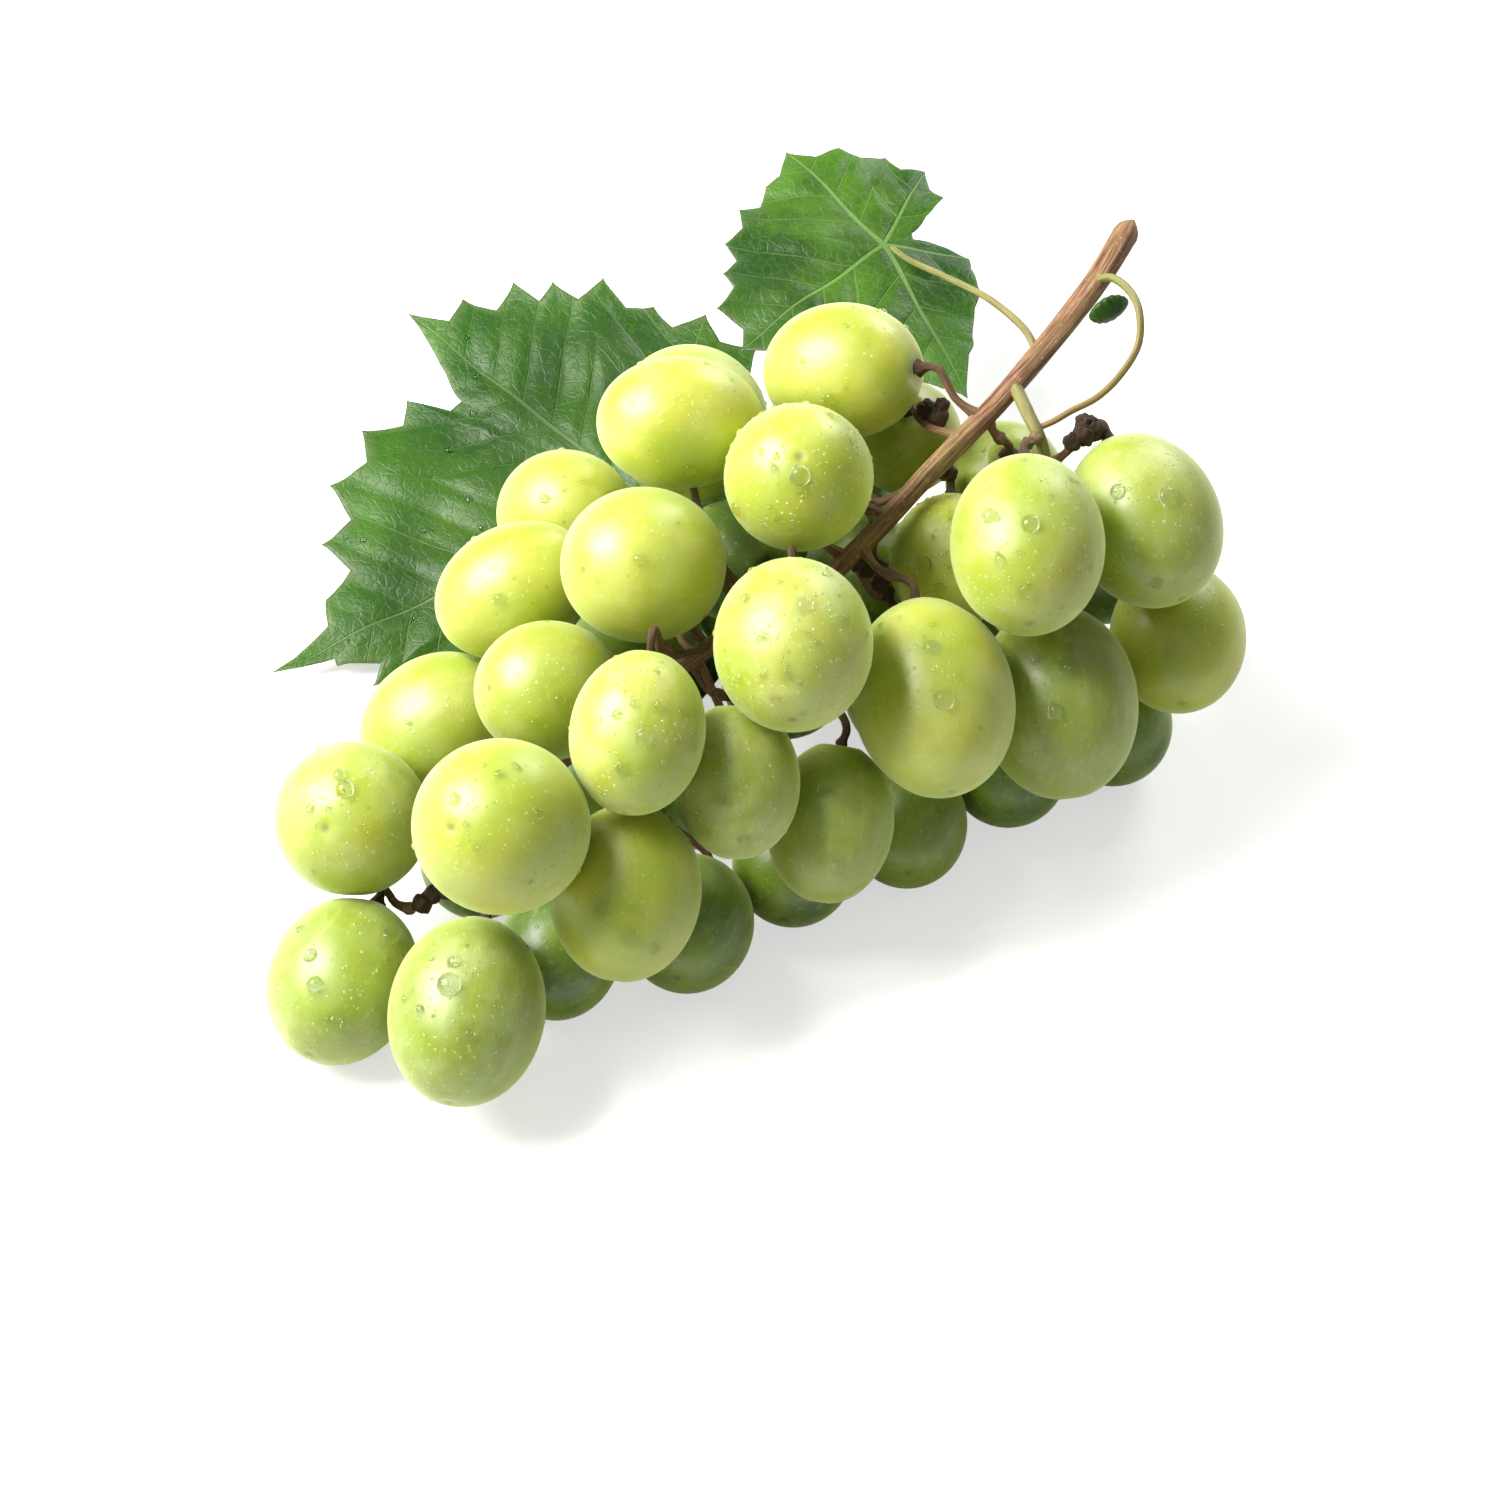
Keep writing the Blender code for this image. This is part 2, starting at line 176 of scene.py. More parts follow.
def add_sky_rays(tree):
    """The sky's strength: dim where it lights the bunch, white where the camera sees it beyond the floor."""
    rays = tree.nodes.new("ShaderNodeLightPath")
    mix = tree.nodes.new("ShaderNodeMapRange")
    mix.inputs["To Min"].default_value = SKY_LIGHT
    mix.inputs["To Max"].default_value = 1.0
    tree.links.new(rays.outputs["Is Camera Ray"], mix.inputs["Value"])
    return mix.outputs[0]


bpy.ops.mesh.primitive_plane_add(size=FLOOR_SIZE)
floor = bpy.context.object
floor.name = "floor"
floor_material, _, floor_shader = new_material("floor_white")
floor_shader.inputs["Base Color"].default_value = (0.70, 0.70, 0.69, 1)
floor_shader.inputs["Roughness"].default_value = 0.9
floor_shader.inputs["Emission Color"].default_value = (1.0, 1.0, 1.0, 1)
rays = floor_material.node_tree.nodes.new("ShaderNodeLightPath")
glow = floor_material.node_tree.nodes.new("ShaderNodeMath")
glow.operation = "MULTIPLY"
glow.inputs[1].default_value = FLOOR_LIFT
floor_material.node_tree.links.new(rays.outputs["Is Camera Ray"], glow.inputs[0])
floor_material.node_tree.links.new(glow.outputs[0], floor_shader.inputs["Emission Strength"])
floor.data.materials.append(floor_material)

world = bpy.data.worlds.new("studio")
world.use_nodes = True
sky = world.node_tree.nodes["Background"]
sky.inputs["Color"].default_value = (1.0, 1.0, 1.0, 1)
world.node_tree.links.new(add_sky_rays(world.node_tree), sky.inputs["Strength"])
bpy.context.scene.world = world
bpy.context.scene.view_settings.view_transform = "Standard"

add_lamp("key_window", (-0.46, 0.36, 0.38), 0.46, 11.3, (1.0, 0.98, 0.94))
add_lamp("glint", (-0.34, 0.36, 0.50), 0.05, 0.85, (1.0, 0.99, 0.96))
add_lamp("back_rim", (0.30, 0.60, -0.15), 0.30, 2.2, (0.97, 1.0, 0.97))

# %% [markdown]
# ## Tools for making surfaces
#
# Every piece is a skin of rings. A ring is a row of points that goes once round the piece, and each
# ring is joined to the next by four-sided faces. The first and last rings are closed by a fan of
# triangles, so the skin has no hole. The rings are whole arrays, and from_pydata puts them into the
# mesh.


# %% Rings to mesh
def ring_faces(rings, around, offset=0):
    """Faces of a closed skin: quads between neighbouring rings, and a fan at each end to two pole points."""
    here = np.arange(around)
    after = np.roll(here, -1)
    first = offset + (np.arange(rings - 1) * around)[:, None]
    quads = np.stack([first + here, first + after, first + around + after, first + around + here], axis=-1)
    pole = offset + rings * around
    last = offset + (rings - 1) * around
    start_fan = np.stack([np.full(around, pole), offset + after, offset + here], axis=-1)
    end_fan = np.stack([np.full(around, pole + 1), last + here, last + after], axis=-1)
    return quads.reshape(-1, 4).tolist() + start_fan.tolist() + end_fan.tolist()


def make_piece(name, points, faces, material, attributes=None):
    """A finished piece: its points in millimetres go to metres, its vertex values go to named attributes."""
    mesh = bpy.data.meshes.new(name)
    mesh.from_pydata((np.asarray(points) * MM).tolist(), [], faces)
    for key, values in (attributes or {}).items():
        kind = "FLOAT_VECTOR" if np.ndim(values) == 2 else "FLOAT"
        layer = mesh.attributes.new(key, kind, "POINT")
        field = "vector" if kind == "FLOAT_VECTOR" else "value"
        layer.data.foreach_set(field, np.ravel(values).astype(np.float32))
    mesh.shade_smooth()
    mesh.materials.append(material)
    piece = bpy.data.objects.new(name, mesh)
    bpy.context.collection.objects.link(piece)
    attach(piece, "root")
    return piece


def with_poles(rings):
    """The points of a stack of rings, with the mean of its first and of its last ring added at the end."""
    return np.vstack([rings.reshape(-1, 3), rings[0].mean(axis=0), rings[-1].mean(axis=0)])


def unit(vectors):
    """The vectors at length one."""
    return vectors / np.linalg.norm(vectors, axis=-1, keepdims=True)


def across(axis):
    """Two directions square to an axis and to each other."""
    helper = np.where(np.abs(axis[..., 2:]) > 0.9, (1.0, 0.0, 0.0), (0.0, 0.0, 1.0))
    side = unit(np.cross(helper, axis))
    return side, np.cross(axis, side)


def soft_limit(value, limit, width):
    """The value where it is well under the limit, the limit where it is well over, and a bend between."""
    return limit - width * np.logaddexp(0, (limit - value) / width)


# %% [markdown]
# ## Where each berry is
#
# A berry of the solid model is a stretched sphere of few faces. Its points spread most along its
# length, so the first direction of their covariance is the berry's axis. The end that is nearer the
# stem is where the stalk goes in. The rings of the solid are 10 points each, and the widest of its
# rings stands a little off the middle, which the width is corrected for.

# %% Read the berries from the solid model
RING_SHARE = math.sin(3 * math.pi / 7)
berry_nodes = sorted(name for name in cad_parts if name.startswith("berry_"))


def corner_points(node):
    """The separate corners of a solid, in millimetres."""
    points = np.array([v.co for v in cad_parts[node].data.vertices]) / MM
    return np.unique(points.round(3), axis=0)


def read_berry(node, wood):
    """Centre, axis from stalk to tip, half width and half length of a solid berry."""
    points = corner_points(node)
    centre = points.mean(axis=0)
    _, directions = np.linalg.eigh(np.cov((points - centre).T))
    axis = directions[:, 2]
    along = (points - centre) @ axis
    beside = np.linalg.norm(points - centre - along[:, None] * axis, axis=1)
    ends = centre + np.outer((along.min(), along.max()), axis)
    gaps = np.linalg.norm(ends[:, None] - wood[None], axis=2).min(axis=1)
    if gaps[1] < gaps[0]:
        axis = -axis
    return centre, axis, beside.max() / RING_SHARE, np.ptp(along) / 2


stem_corners = corner_points("stem")
facts = [read_berry(node, stem_corners) for node in berry_nodes]
CENTRES, AXES = (np.array([fact[k] for fact in facts]) for k in (0, 1))
HALF_WIDTH, HALF_LENGTH = (np.array([fact[k] for fact in facts]) for k in (2, 3))
widths = (2 * HALF_WIDTH).round(1)
print(len(berry_nodes), "berries, widths", widths.min(), "to", widths.max())

# %% [markdown]
# ## The shape of a berry
#
# A ripe berry is a slightly lopsided egg. Its skin is drawn in where the stalk enters, it carries a
# tiny dry scar at the tip, and it goes flat where it presses on the next berry or on the table. Each of
# these is one term added to an ellipsoid, so the whole berry stays one smooth skin.

# %% Berry surface
AROUND = 84
ALONG = 58
SWELL = 1.014
FLAT_GAP = 0.02
FLAT_BEND = 0.26
WALL_GAP = 0.02
LENGTH_SPARE = 0.1
STALK_DIP_DEPTH = 0.9
STALK_DIP_WIDTH = 1.7
COLLAR_HEIGHT = 0.16
COLLAR_RADIUS = 2.9
COLLAR_WIDTH = 0.8
TIP_DIP_DEPTH = 0.25
TIP_DIP_WIDTH = 0.8
dice = np.random.default_rng(11)


def support(k, directions):
    """How far berry k reaches along each direction.

    It is the root of two squares: the half width across the axis, and the half length along it.
    """
    lean = directions @ AXES[k]
    across_part = (HALF_WIDTH[k] * SWELL) ** 2 * (1 - lean**2)
    return np.sqrt(across_part + (HALF_LENGTH[k] + LENGTH_SPARE) ** 2 * lean**2)


def pressed_planes(k):
    """The planes that flatten berry k: one for each neighbour it reaches, and the six sides of the box."""
    apart = np.delete(CENTRES, k, axis=0) - CENTRES[k]
    others = np.delete(np.arange(len(CENTRES)), k)
    distance = np.linalg.norm(apart, axis=1)
    towards = apart / distance[:, None]
    mine = support(k, towards)
    theirs = np.array([support(j, -towards[n]) for n, j in enumerate(others)])
    near = mine + theirs > distance - 2 * FLAT_BEND
    limits = distance * mine / (mine + theirs) - FLAT_GAP
    walls = np.vstack([np.eye(3), -np.eye(3)])
    low, high = (np.array(corner) / MM for corner in PART_BOX)
    wall_limits = np.concatenate([high - CENTRES[k], CENTRES[k] - low]) - WALL_GAP
    return np.vstack([towards[near], walls]), np.concatenate([limits[near], wall_limits])


def part_box():
    """The box of all the solids together, floor left out."""
    boxes = [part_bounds(name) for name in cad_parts]
    low = [min(box[0][k] for box in boxes) for k in range(3)]
    high = [max(box[1][k] for box in boxes) for k in range(3)]
    return low, high


PART_BOX = part_box()


def berry_surface(k):
    """Rings of berry k from stalk to tip, in millimetres.

    The radius is the sine of the ring's angle, raised a little to make the waist fuller. Three slow waves
    round the axis make it lopsided. A bell-shaped dip draws in the stalk end, with a low collar round it,
    and a smaller dip marks the tip. Each plane then limits how far the skin reaches, with a soft bend.
    """
    angle = np.linspace(0.03, math.pi - 0.02, ALONG)[:, None]
    turn = np.linspace(0, 2 * math.pi, AROUND, endpoint=False)[None, :]
    wave = dice.uniform(0, 2 * math.pi, 4)
    amount = dice.uniform(0.003, 0.010, 4)
    lopsided = 1 + amount[0] * np.cos(turn - wave[0]) * np.sin(angle)
    lopsided = lopsided + amount[1] * np.cos(2 * turn - wave[1]) * np.sin(angle) ** 2
    lopsided = lopsided + 0.6 * amount[2] * np.cos(3 * turn - wave[2]) * np.sin(2 * angle)
    radius = HALF_WIDTH[k] * SWELL * np.sin(angle) ** 0.97 * lopsided
    stalk_half = angle < 1.5
    tip_half = angle > 1.5
    height = -(HALF_LENGTH[k] + LENGTH_SPARE) * np.cos(angle) + 0.0 * turn
    height = height + STALK_DIP_DEPTH * np.exp(-((radius / STALK_DIP_WIDTH) ** 2)) * stalk_half
    height = height - COLLAR_HEIGHT * np.exp(-(((radius - COLLAR_RADIUS) / COLLAR_WIDTH) ** 2)) * stalk_half
    height = height - TIP_DIP_DEPTH * np.exp(-((radius / TIP_DIP_WIDTH) ** 2)) * tip_half
    side, up = across(AXES[k])
    offset = (radius * np.cos(turn))[..., None] * side + (radius * np.sin(turn))[..., None] * up
    offset = offset + height[..., None] * AXES[k]
    for normal, limit in zip(*pressed_planes(k)):
        reach = offset @ normal
        offset = offset + (soft_limit(reach, limit, FLAT_BEND) - reach)[..., None] * normal
    wide = np.sin(angle)
    place = np.stack([wide * np.cos(turn), wide * np.sin(turn), -np.cos(angle) + 0 * turn], axis=-1)
    return CENTRES[k] + offset, place + 7.0 * k


surface, _ = berry_surface(0)
print("berry 1 spans, millimetres:", np.ptp(surface.reshape(-1, 3), axis=0).round(1))

# %% [markdown]
# ## Colour of each berry
#
# Most berries are a warm yellow green and some are greener. The berries underneath are a deep green
# with little bloom: this is painted shade, for the shade the berries above cast on them. So the
# ripeness value carries both each berry's own tone and this painted shade, from 0 for green to 1 for
# yellow.

# %% Ripeness, painted shade and bloom of each berry
RIPE = 0.78
SHADED_UNDERSIDE = 27
ripeness_and_shade = RIPE + dice.uniform(-0.10, 0.10, len(CENTRES))
# Painted shade: the berries underneath are set deep green.
ripeness_and_shade[SHADED_UNDERSIDE:] = dice.uniform(0.0, 0.15, len(CENTRES) - SHADED_UNDERSIDE)
# Berry 6 and the berries from 28 on are held deep green as painted shade; the other values are each berry's
# own tone.
GREENER_AND_SHADED = {
    1: 0.42, 2: 0.40, 4: 0.86, 5: 0.66, 6: 0.05, 7: 0.66, 9: 0.95, 10: 0.95, 13: 0.92, 14: 0.92, 17: 0.80,
    18: 0.52, 19: 0.52, 20: 0.92, 21: 1.0, 22: 0.5, 25: 0.60, 26: 0.95, 27: 0.45, 30: 0.2, 31: 0.04,
}
ripeness_and_shade[np.array(list(GREENER_AND_SHADED)) - 1] = list(GREENER_AND_SHADED.values())
bloom = dice.uniform(0.15, 0.55, len(CENTRES))
# Little bloom on the berries underneath keeps their painted shade dark and green.
bloom[SHADED_UNDERSIDE:] = 0.12
FROSTED = {1: 0.5, 2: 0.6, 3: 0.75, 15: 0.85, 16: 0.75, 18: 0.8, 20: 0.6, 21: 1.0, 24: 0.7, 25: 0.6, 13: 0.45}
bloom[np.array(list(FROSTED)) - 1] = list(FROSTED.values())
MIST = {1: 0.5, 2: 0.4, 3: 0.7, 4: 0.4, 13: 0.8, 15: 0.8, 16: 0.9, 18: 0.6, 21: 1.0, 24: 0.5, 25: 0.5}
print("ripeness from", ripeness_and_shade.min().round(2), "to", ripeness_and_shade.max().round(2))

# %% [markdown]
# ## Shader helpers
#
# Short helper functions keep the node building readable. Two effects are wanted by more than one
# material, so each is built once as a node group with named inputs and outputs: a cloudy mask for the
# patches of colour on skin, bark and blade, and the lengthwise streaks of anything that grew as fibres.


# %% Node helpers
def add_node(tree, kind, **inputs):
    """A node of the given kind, with its inputs set to a value or linked from a socket."""
    node = tree.nodes.new(kind)
    for key, value in inputs.items():
        numbered = key[0] == "i" and key[1:].isdigit()
        socket = node.inputs[int(key[1:]) if numbered else key.replace("_", " ")]
        if isinstance(value, bpy.types.NodeSocket):
            tree.links.new(value, socket)
        else:
            socket.default_value = value
    return node


def math_node(tree, operation, first, second=0.0, clamp=False):
    """The result of one sum, product or other operation on two values."""
    node = add_node(tree, "ShaderNodeMath", i0=first, i1=second)
    node.operation = operation
    node.use_clamp = clamp
    return node.outputs[0]


def blend(tree, share, first, second):
    """The colour between two colours at the given share."""
    node = tree.nodes.new("ShaderNodeMix")
    node.data_type = "RGBA"
    for index, value in ((0, share), (6, first), (7, second)):
        if isinstance(value, bpy.types.NodeSocket):
            tree.links.new(value, node.inputs[index])
        else:
            node.inputs[index].default_value = value
    return node.outputs[2]


def remap(tree, value, low, high, to_low=0.0, to_high=1.0):
    """The value moved from one range to another, smoothly, and held at the ends."""
    node = add_node(tree, "ShaderNodeMapRange", i0=value, i1=low, i2=high, i3=to_low, i4=to_high)
    node.interpolation_type = "SMOOTHSTEP"
    return node.outputs[0]


def noise(tree, place, scale, detail=3.0, roughness=0.55):
    """Cloudy noise at a place."""
    node = add_node(tree, "ShaderNodeTexNoise", Vector=place, Scale=scale, Detail=detail, Roughness=roughness)
    return node.outputs[0]


def stretched(tree, place, scale):
    """A place with each of its three parts scaled."""
    return add_node(tree, "ShaderNodeMapping", Vector=place, Scale=scale).outputs[0]


def object_place(tree):
    """Where a point is, in metres, in the shared frame."""
    return tree.nodes.new("ShaderNodeTexCoord").outputs["Object"]


def own_value(tree, key, output="Fac"):
    """A value stored on the piece's own points."""
    node = tree.nodes.new("ShaderNodeAttribute")
    node.attribute_name = key
    return node.outputs[output]


def connect(tree, shader, **inputs):
    """Links or sets the shader's inputs by name."""
    for key, value in inputs.items():
        socket = shader.inputs[key.replace("_", " ")]
        if isinstance(value, bpy.types.NodeSocket):
            tree.links.new(value, socket)
        else:
            socket.default_value = value


print("node helpers ready")


# %% Shared effects
def new_group(name, vectors, numbers, output):
    """An empty node group with named vector and number inputs and one number output."""
    group = bpy.data.node_groups.new(name, "ShaderNodeTree")
    for key in vectors:
        group.interface.new_socket(key, in_out="INPUT", socket_type="NodeSocketVector")
    for key in numbers:
        group.interface.new_socket(key, in_out="INPUT", socket_type="NodeSocketFloat")
    group.interface.new_socket(output, in_out="OUTPUT", socket_type="NodeSocketFloat")
    return group, group.nodes.new("NodeGroupInput").outputs, group.nodes.new("NodeGroupOutput").inputs


def use_group(tree, group, **inputs):
    """The output of a node group placed in a material, with its inputs set or linked by name."""
    node = tree.nodes.new("ShaderNodeGroup")
    node.node_tree = group
    connect(tree, node, **inputs)
    return node.outputs[0]


cloud_numbers = ["Scale", "Detail", "Roughness", "Low", "High", "Most"]
CLOUD, given, result = new_group("cloud_mask", ["Place"], cloud_numbers, "Mask")
cloudy = noise(CLOUD, given["Place"], given["Scale"], given["Detail"], given["Roughness"])
CLOUD.links.new(remap(CLOUD, cloudy, given["Low"], given["High"], 0.0, given["Most"]), result["Mask"])

streak_numbers = ["Scale", "Detail", "Roughness"]
STREAKS, given, result = new_group("fibre_streaks", ["Fibre", "Stretch"], streak_numbers, "Streak")
along_fibre = stretched(STREAKS, given["Fibre"], given["Stretch"])
drawn_out = noise(STREAKS, along_fibre, given["Scale"], given["Detail"], given["Roughness"])
STREAKS.links.new(drawn_out, result["Streak"])


def cloud_mask(tree, place, scale, detail, low, high, most=1.0, roughness=0.55):
    """Patches that rise from nothing to the most where cloudy noise passes from low to high."""
    return use_group(
        tree, CLOUD, Place=place, Scale=scale, Detail=detail, Roughness=roughness,
        Low=low, High=high, Most=most,
    )


def fibre_streaks(tree, fibre, stretch, scale, detail, roughness=0.55):
    """Noise drawn out along the fibres of a stem or shoot."""
    return use_group(
        tree, STREAKS, Fibre=fibre, Stretch=stretch, Scale=scale, Detail=detail, Roughness=roughness
    )


print("shared effects:", CLOUD.name, "and", STREAKS.name)

# %% [markdown]
# ## Berry skin
#
# A grape is a bag of clear jelly. Light goes in, is scattered and comes out again some millimetres
# away, which is why a berry glows on the side away from the lamp. Subsurface scattering does this, and
# the green reaches farther than the blue. On top lies the bloom, a dust of pale wax that is rubbed off
# in places: it makes the skin paler, and rougher. Fine paler veins run from the stalk to the tip, and
# there are some tiny brown specks.

# %% Skin colour
SKIN_GREEN = (0.032, 0.118, 0.006, 1)
SKIN_RIPE = (0.585, 0.60, 0.065, 1)
SKIN_CLOUD = (0.30, 0.46, 0.012, 1)
SKIN_VEIN = (0.66, 0.74, 0.22, 1)
SKIN_WAX = (0.66, 0.76, 0.42, 1)
SKIN_SPECK = (0.22, 0.16, 0.05, 1)
SKIN_DEEP = (0.30, 0.42, 0.008, 1)
SKIN_PAINTED_RIM_SHEEN = (0.68, 0.80, 0.34, 1)
SKIN_SCAR = (0.20, 0.13, 0.04, 1)
SKIN_BEAD_HIGHLIGHT = (0.80, 0.86, 0.55, 1)
JELLY_REACH = (0.0060, 0.0056, 0.0010)

skin, tree, shader = new_material("grape_skin")
place = object_place(tree)
own = own_value(tree, "skin_place", "Vector")
ripe_and_shade = own_value(tree, "ripeness_and_shade")
dusty = own_value(tree, "bloom")

# The ripeness value carries painted shade on the berries underneath as well as each berry's own ripeness.
body = blend(tree, ripe_and_shade, SKIN_GREEN, SKIN_RIPE)
cloud = cloud_mask(tree, place, 95.0, 4.0, 0.3, 0.7)
body = blend(tree, math_node(tree, "MULTIPLY", cloud, 0.35), body, SKIN_CLOUD)
veins = remap(tree, noise(tree, stretched(tree, own, (9.0, 9.0, 1.2)), 1.0, 5.0, 0.6), 0.50, 0.70)
body = blend(tree, math_node(tree, "MULTIPLY", veins, 0.20), body, SKIN_VEIN)
dust_cloud = cloud_mask(tree, place, 160.0, 6.0, 0.35, 0.68, roughness=0.65)
dust = math_node(tree, "MULTIPLY", dust_cloud, dusty, clamp=True)
body = blend(tree, math_node(tree, "MULTIPLY", dust, 0.42), body, SKIN_WAX)
specks = add_node(tree, "ShaderNodeTexVoronoi", Vector=place, Scale=420.0)
speck_mask = math_node(tree, "LESS_THAN", specks.outputs["Distance"], 0.13)
speck_tint = add_node(tree, "ShaderNodeSeparateColor", i0=specks.outputs["Color"])
speck_pick = math_node(tree, "GREATER_THAN", speck_tint.outputs[0], 0.72)
speck_mask = math_node(tree, "MULTIPLY", speck_mask, speck_pick)
body = blend(tree, math_node(tree, "MULTIPLY", speck_mask, 0.35), body, SKIN_SPECK)
depth_cloud = cloud_mask(tree, stretched(tree, own, (0.9, 0.9, 0.7)), 1.0, 1.0, 0.42, 0.62, most=0.45)
body = blend(tree, depth_cloud, body, SKIN_DEEP)
# A pale rim where the skin turns edge-on to the camera: a painted sheen in the base colour.
facing = tree.nodes.new("ShaderNodeLayerWeight")
facing.inputs["Blend"].default_value = 0.35
painted_rim_sheen = remap(tree, facing.outputs["Facing"], 0.32, 0.95, 0.0, 0.75)
body = blend(tree, painted_rim_sheen, body, SKIN_PAINTED_RIM_SHEEN)
tip = own_value(tree, "scar")
body = blend(tree, math_node(tree, "MULTIPLY", tip, 0.55), body, SKIN_SCAR)
print("skin colour nodes:", len(tree.nodes))

# %% Skin relief, and beads of mist with a painted highlight
rough = math_node(tree, "ADD", math_node(tree, "MULTIPLY", dust, 0.18), 0.40)
pores = noise(tree, place, 2600.0, 2.0)
ripple = noise(tree, place, 300.0, 2.0)
relief = math_node(tree, "ADD", math_node(tree, "MULTIPLY", pores, 0.25), ripple)
bump = add_node(tree, "ShaderNodeBump", Strength=0.25, Distance=0.00012, Height=relief)
beads = add_node(tree, "ShaderNodeTexVoronoi", Vector=place, Scale=1150.0)
bead_pick = add_node(tree, "ShaderNodeSeparateColor", i0=beads.outputs["Color"]).outputs[1]
bead_size = math_node(tree, "MULTIPLY", bead_pick, 0.42)
bead = remap(tree, math_node(tree, "DIVIDE", beads.outputs["Distance"], bead_size), 0.55, 1.0, 1.0, 0.0)
bead = math_node(tree, "MULTIPLY", bead, own_value(tree, "mist"))
# The beads' gloss and bump are real; their paler tint in the base colour is a painted highlight.
body = blend(tree, math_node(tree, "MULTIPLY", bead, 0.30), body, SKIN_BEAD_HIGHLIGHT)
rough = math_node(tree, "SUBTRACT", rough, math_node(tree, "MULTIPLY", bead, 0.28))
bump = add_node(tree, "ShaderNodeBump", Strength=0.8, Distance=0.0003, Height=bead, Normal=bump.outputs[0])
connect(
    tree, shader, Base_Color=body, Roughness=rough, Normal=bump.outputs[0], Subsurface_Weight=1.0,
    Subsurface_Radius=JELLY_REACH, Subsurface_Scale=1.0, IOR=1.5, Specular_IOR_Level=1.0,
    Sheen_Weight=0.16, Sheen_Roughness=0.40, Sheen_Tint=(0.9, 1.0, 0.65, 1),
)
print("skin nodes:", len(tree.nodes))

# %% Make the berries
for k, node in enumerate(berry_nodes):
    surface, own_place = berry_surface(k)
    points = with_poles(surface)
    own_points = with_poles(own_place)
    ends = np.linalg.norm(points - points[-1], axis=1)
    values = {
        "skin_place": own_points,
        # The ripeness value also holds the painted shade of the berries underneath.
        "ripeness_and_shade": np.full(len(points), ripeness_and_shade[k]),
        "bloom": np.full(len(points), bloom[k]),
        "mist": np.full(len(points), MIST.get(k + 1, 0.25)),
        "scar": np.exp(-((ends / 0.38) ** 4)),
    }
    berry = make_piece(f"grape_{node[-2:]}", points, ring_faces(ALONG, AROUND), skin, values)
    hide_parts(node)
print("berries:", len(berry_nodes), "of", 2 * ALONG * AROUND, "triangles each")

# %% [markdown]
# ## The woody stem
#
# The stem of a bunch is tough and ribbed. It is tan on its sunny side and darker brown below, with fine
# cracks along it. Each berry hangs on a short stalk that leaves the stem in a swollen foot. The stalk
# ends in a warty little cushion pressed onto the berry. Every branch here is a tube whose radius
# changes along it and round it, so that feet, cushions and ribs all come from one formula.


# %% Tube surface
def tube_frame(route):
    """The tube's direction at each point, and two directions square to it from the plane it bends in."""
    along = unit(np.gradient(route, axis=0))
    flat = np.linalg.svd(route - route.mean(axis=0))[2][2]
    side = unit(np.cross(along, flat))
    return along, side, np.cross(along, side)


def tube_surface(route, radius, around, ribs=0.0, warts=0.0, seed=0.0):
    """Rings of a tube along a route, in millimetres, with rounded ends.

    The radius at a ring and a turn is the ring's own radius, times one plus the ribs and the warts. The
    ribs are a few waves round the tube that drift slowly along it. The warts are shorter waves in both
    ways. A radius list from rounded() closes the two ends like half circles.
    """
    along, side, up = tube_frame(route)
    length = np.concatenate([[0.0], np.cumsum(np.linalg.norm(np.diff(route, axis=0), axis=1))])[:, None]
    turn = np.linspace(0, 2 * math.pi, around, endpoint=False)[None, :]
    shape = 1 + ribs * np.cos(3 * turn + 0.10 * length + seed)
    shape = shape + 0.7 * ribs * np.cos(5 * turn - 0.16 * length + 2 * seed)
    shape = shape + 0.5 * ribs * np.cos(9 * turn + 0.07 * length + 3 * seed)
    wart = np.cos(4 * turn + 2.9 * length + seed) * np.cos(2 * turn - 2.3 * length + 2 * seed)
    shape = shape + np.reshape(warts, (-1, 1)) * wart
    ring = np.asarray(radius)[:, None] * shape
    points = route[:, None] + ring[..., None] * (
        np.cos(turn)[..., None] * side[:, None] + np.sin(turn)[..., None] * up[:, None]
    )
    flat = 0 * length
    fibre = np.stack([np.cos(turn) + flat, np.sin(turn) + flat, length / 6 + 0 * turn + seed], axis=-1)
    return points, fibre


def rounded(radius, steps=3):
    """A row of radii whose two ends close like a half circle."""
    close = np.sin(np.linspace(0.15, math.pi / 2, steps + 1))[:-1]
    radius = np.array(radius, dtype=float)
    radius[:steps] *= close
    radius[-steps:] *= close[::-1]
    return radius


def joined(surfaces, around):
    """One set of points, faces and attribute from several skins of rings."""
    points, own, faces, count = [], [], [], 0
    for rings, values in surfaces:
        faces += ring_faces(len(rings), around, count)
        points.append(with_poles(rings))
        own.append(with_poles(values))
        count += len(points[-1])
    return np.vstack(points), faces, np.vstack(own)


# %% Branches and stalks
THINNER = 0.86
BRANCH_STEPS = 16
STALK_STEPS = 30
AROUND_BRANCH = 28
TOUCH_GAP = 0.3
STALK_KNEE = 3.0
STALK_BOW = 0.10
STALK_BOW_SIDE = np.array([1.0, 0.25, 0.3])
STALK_SUNK = 0.55

main = smooth_route(MAIN_STEM, BRANCH_STEPS)
shoulder = smooth_route(SHOULDER, BRANCH_STEPS)
main[:, :3] += SHIFT
shoulder[:, :3] += SHIFT
wood = np.vstack([main, shoulder])


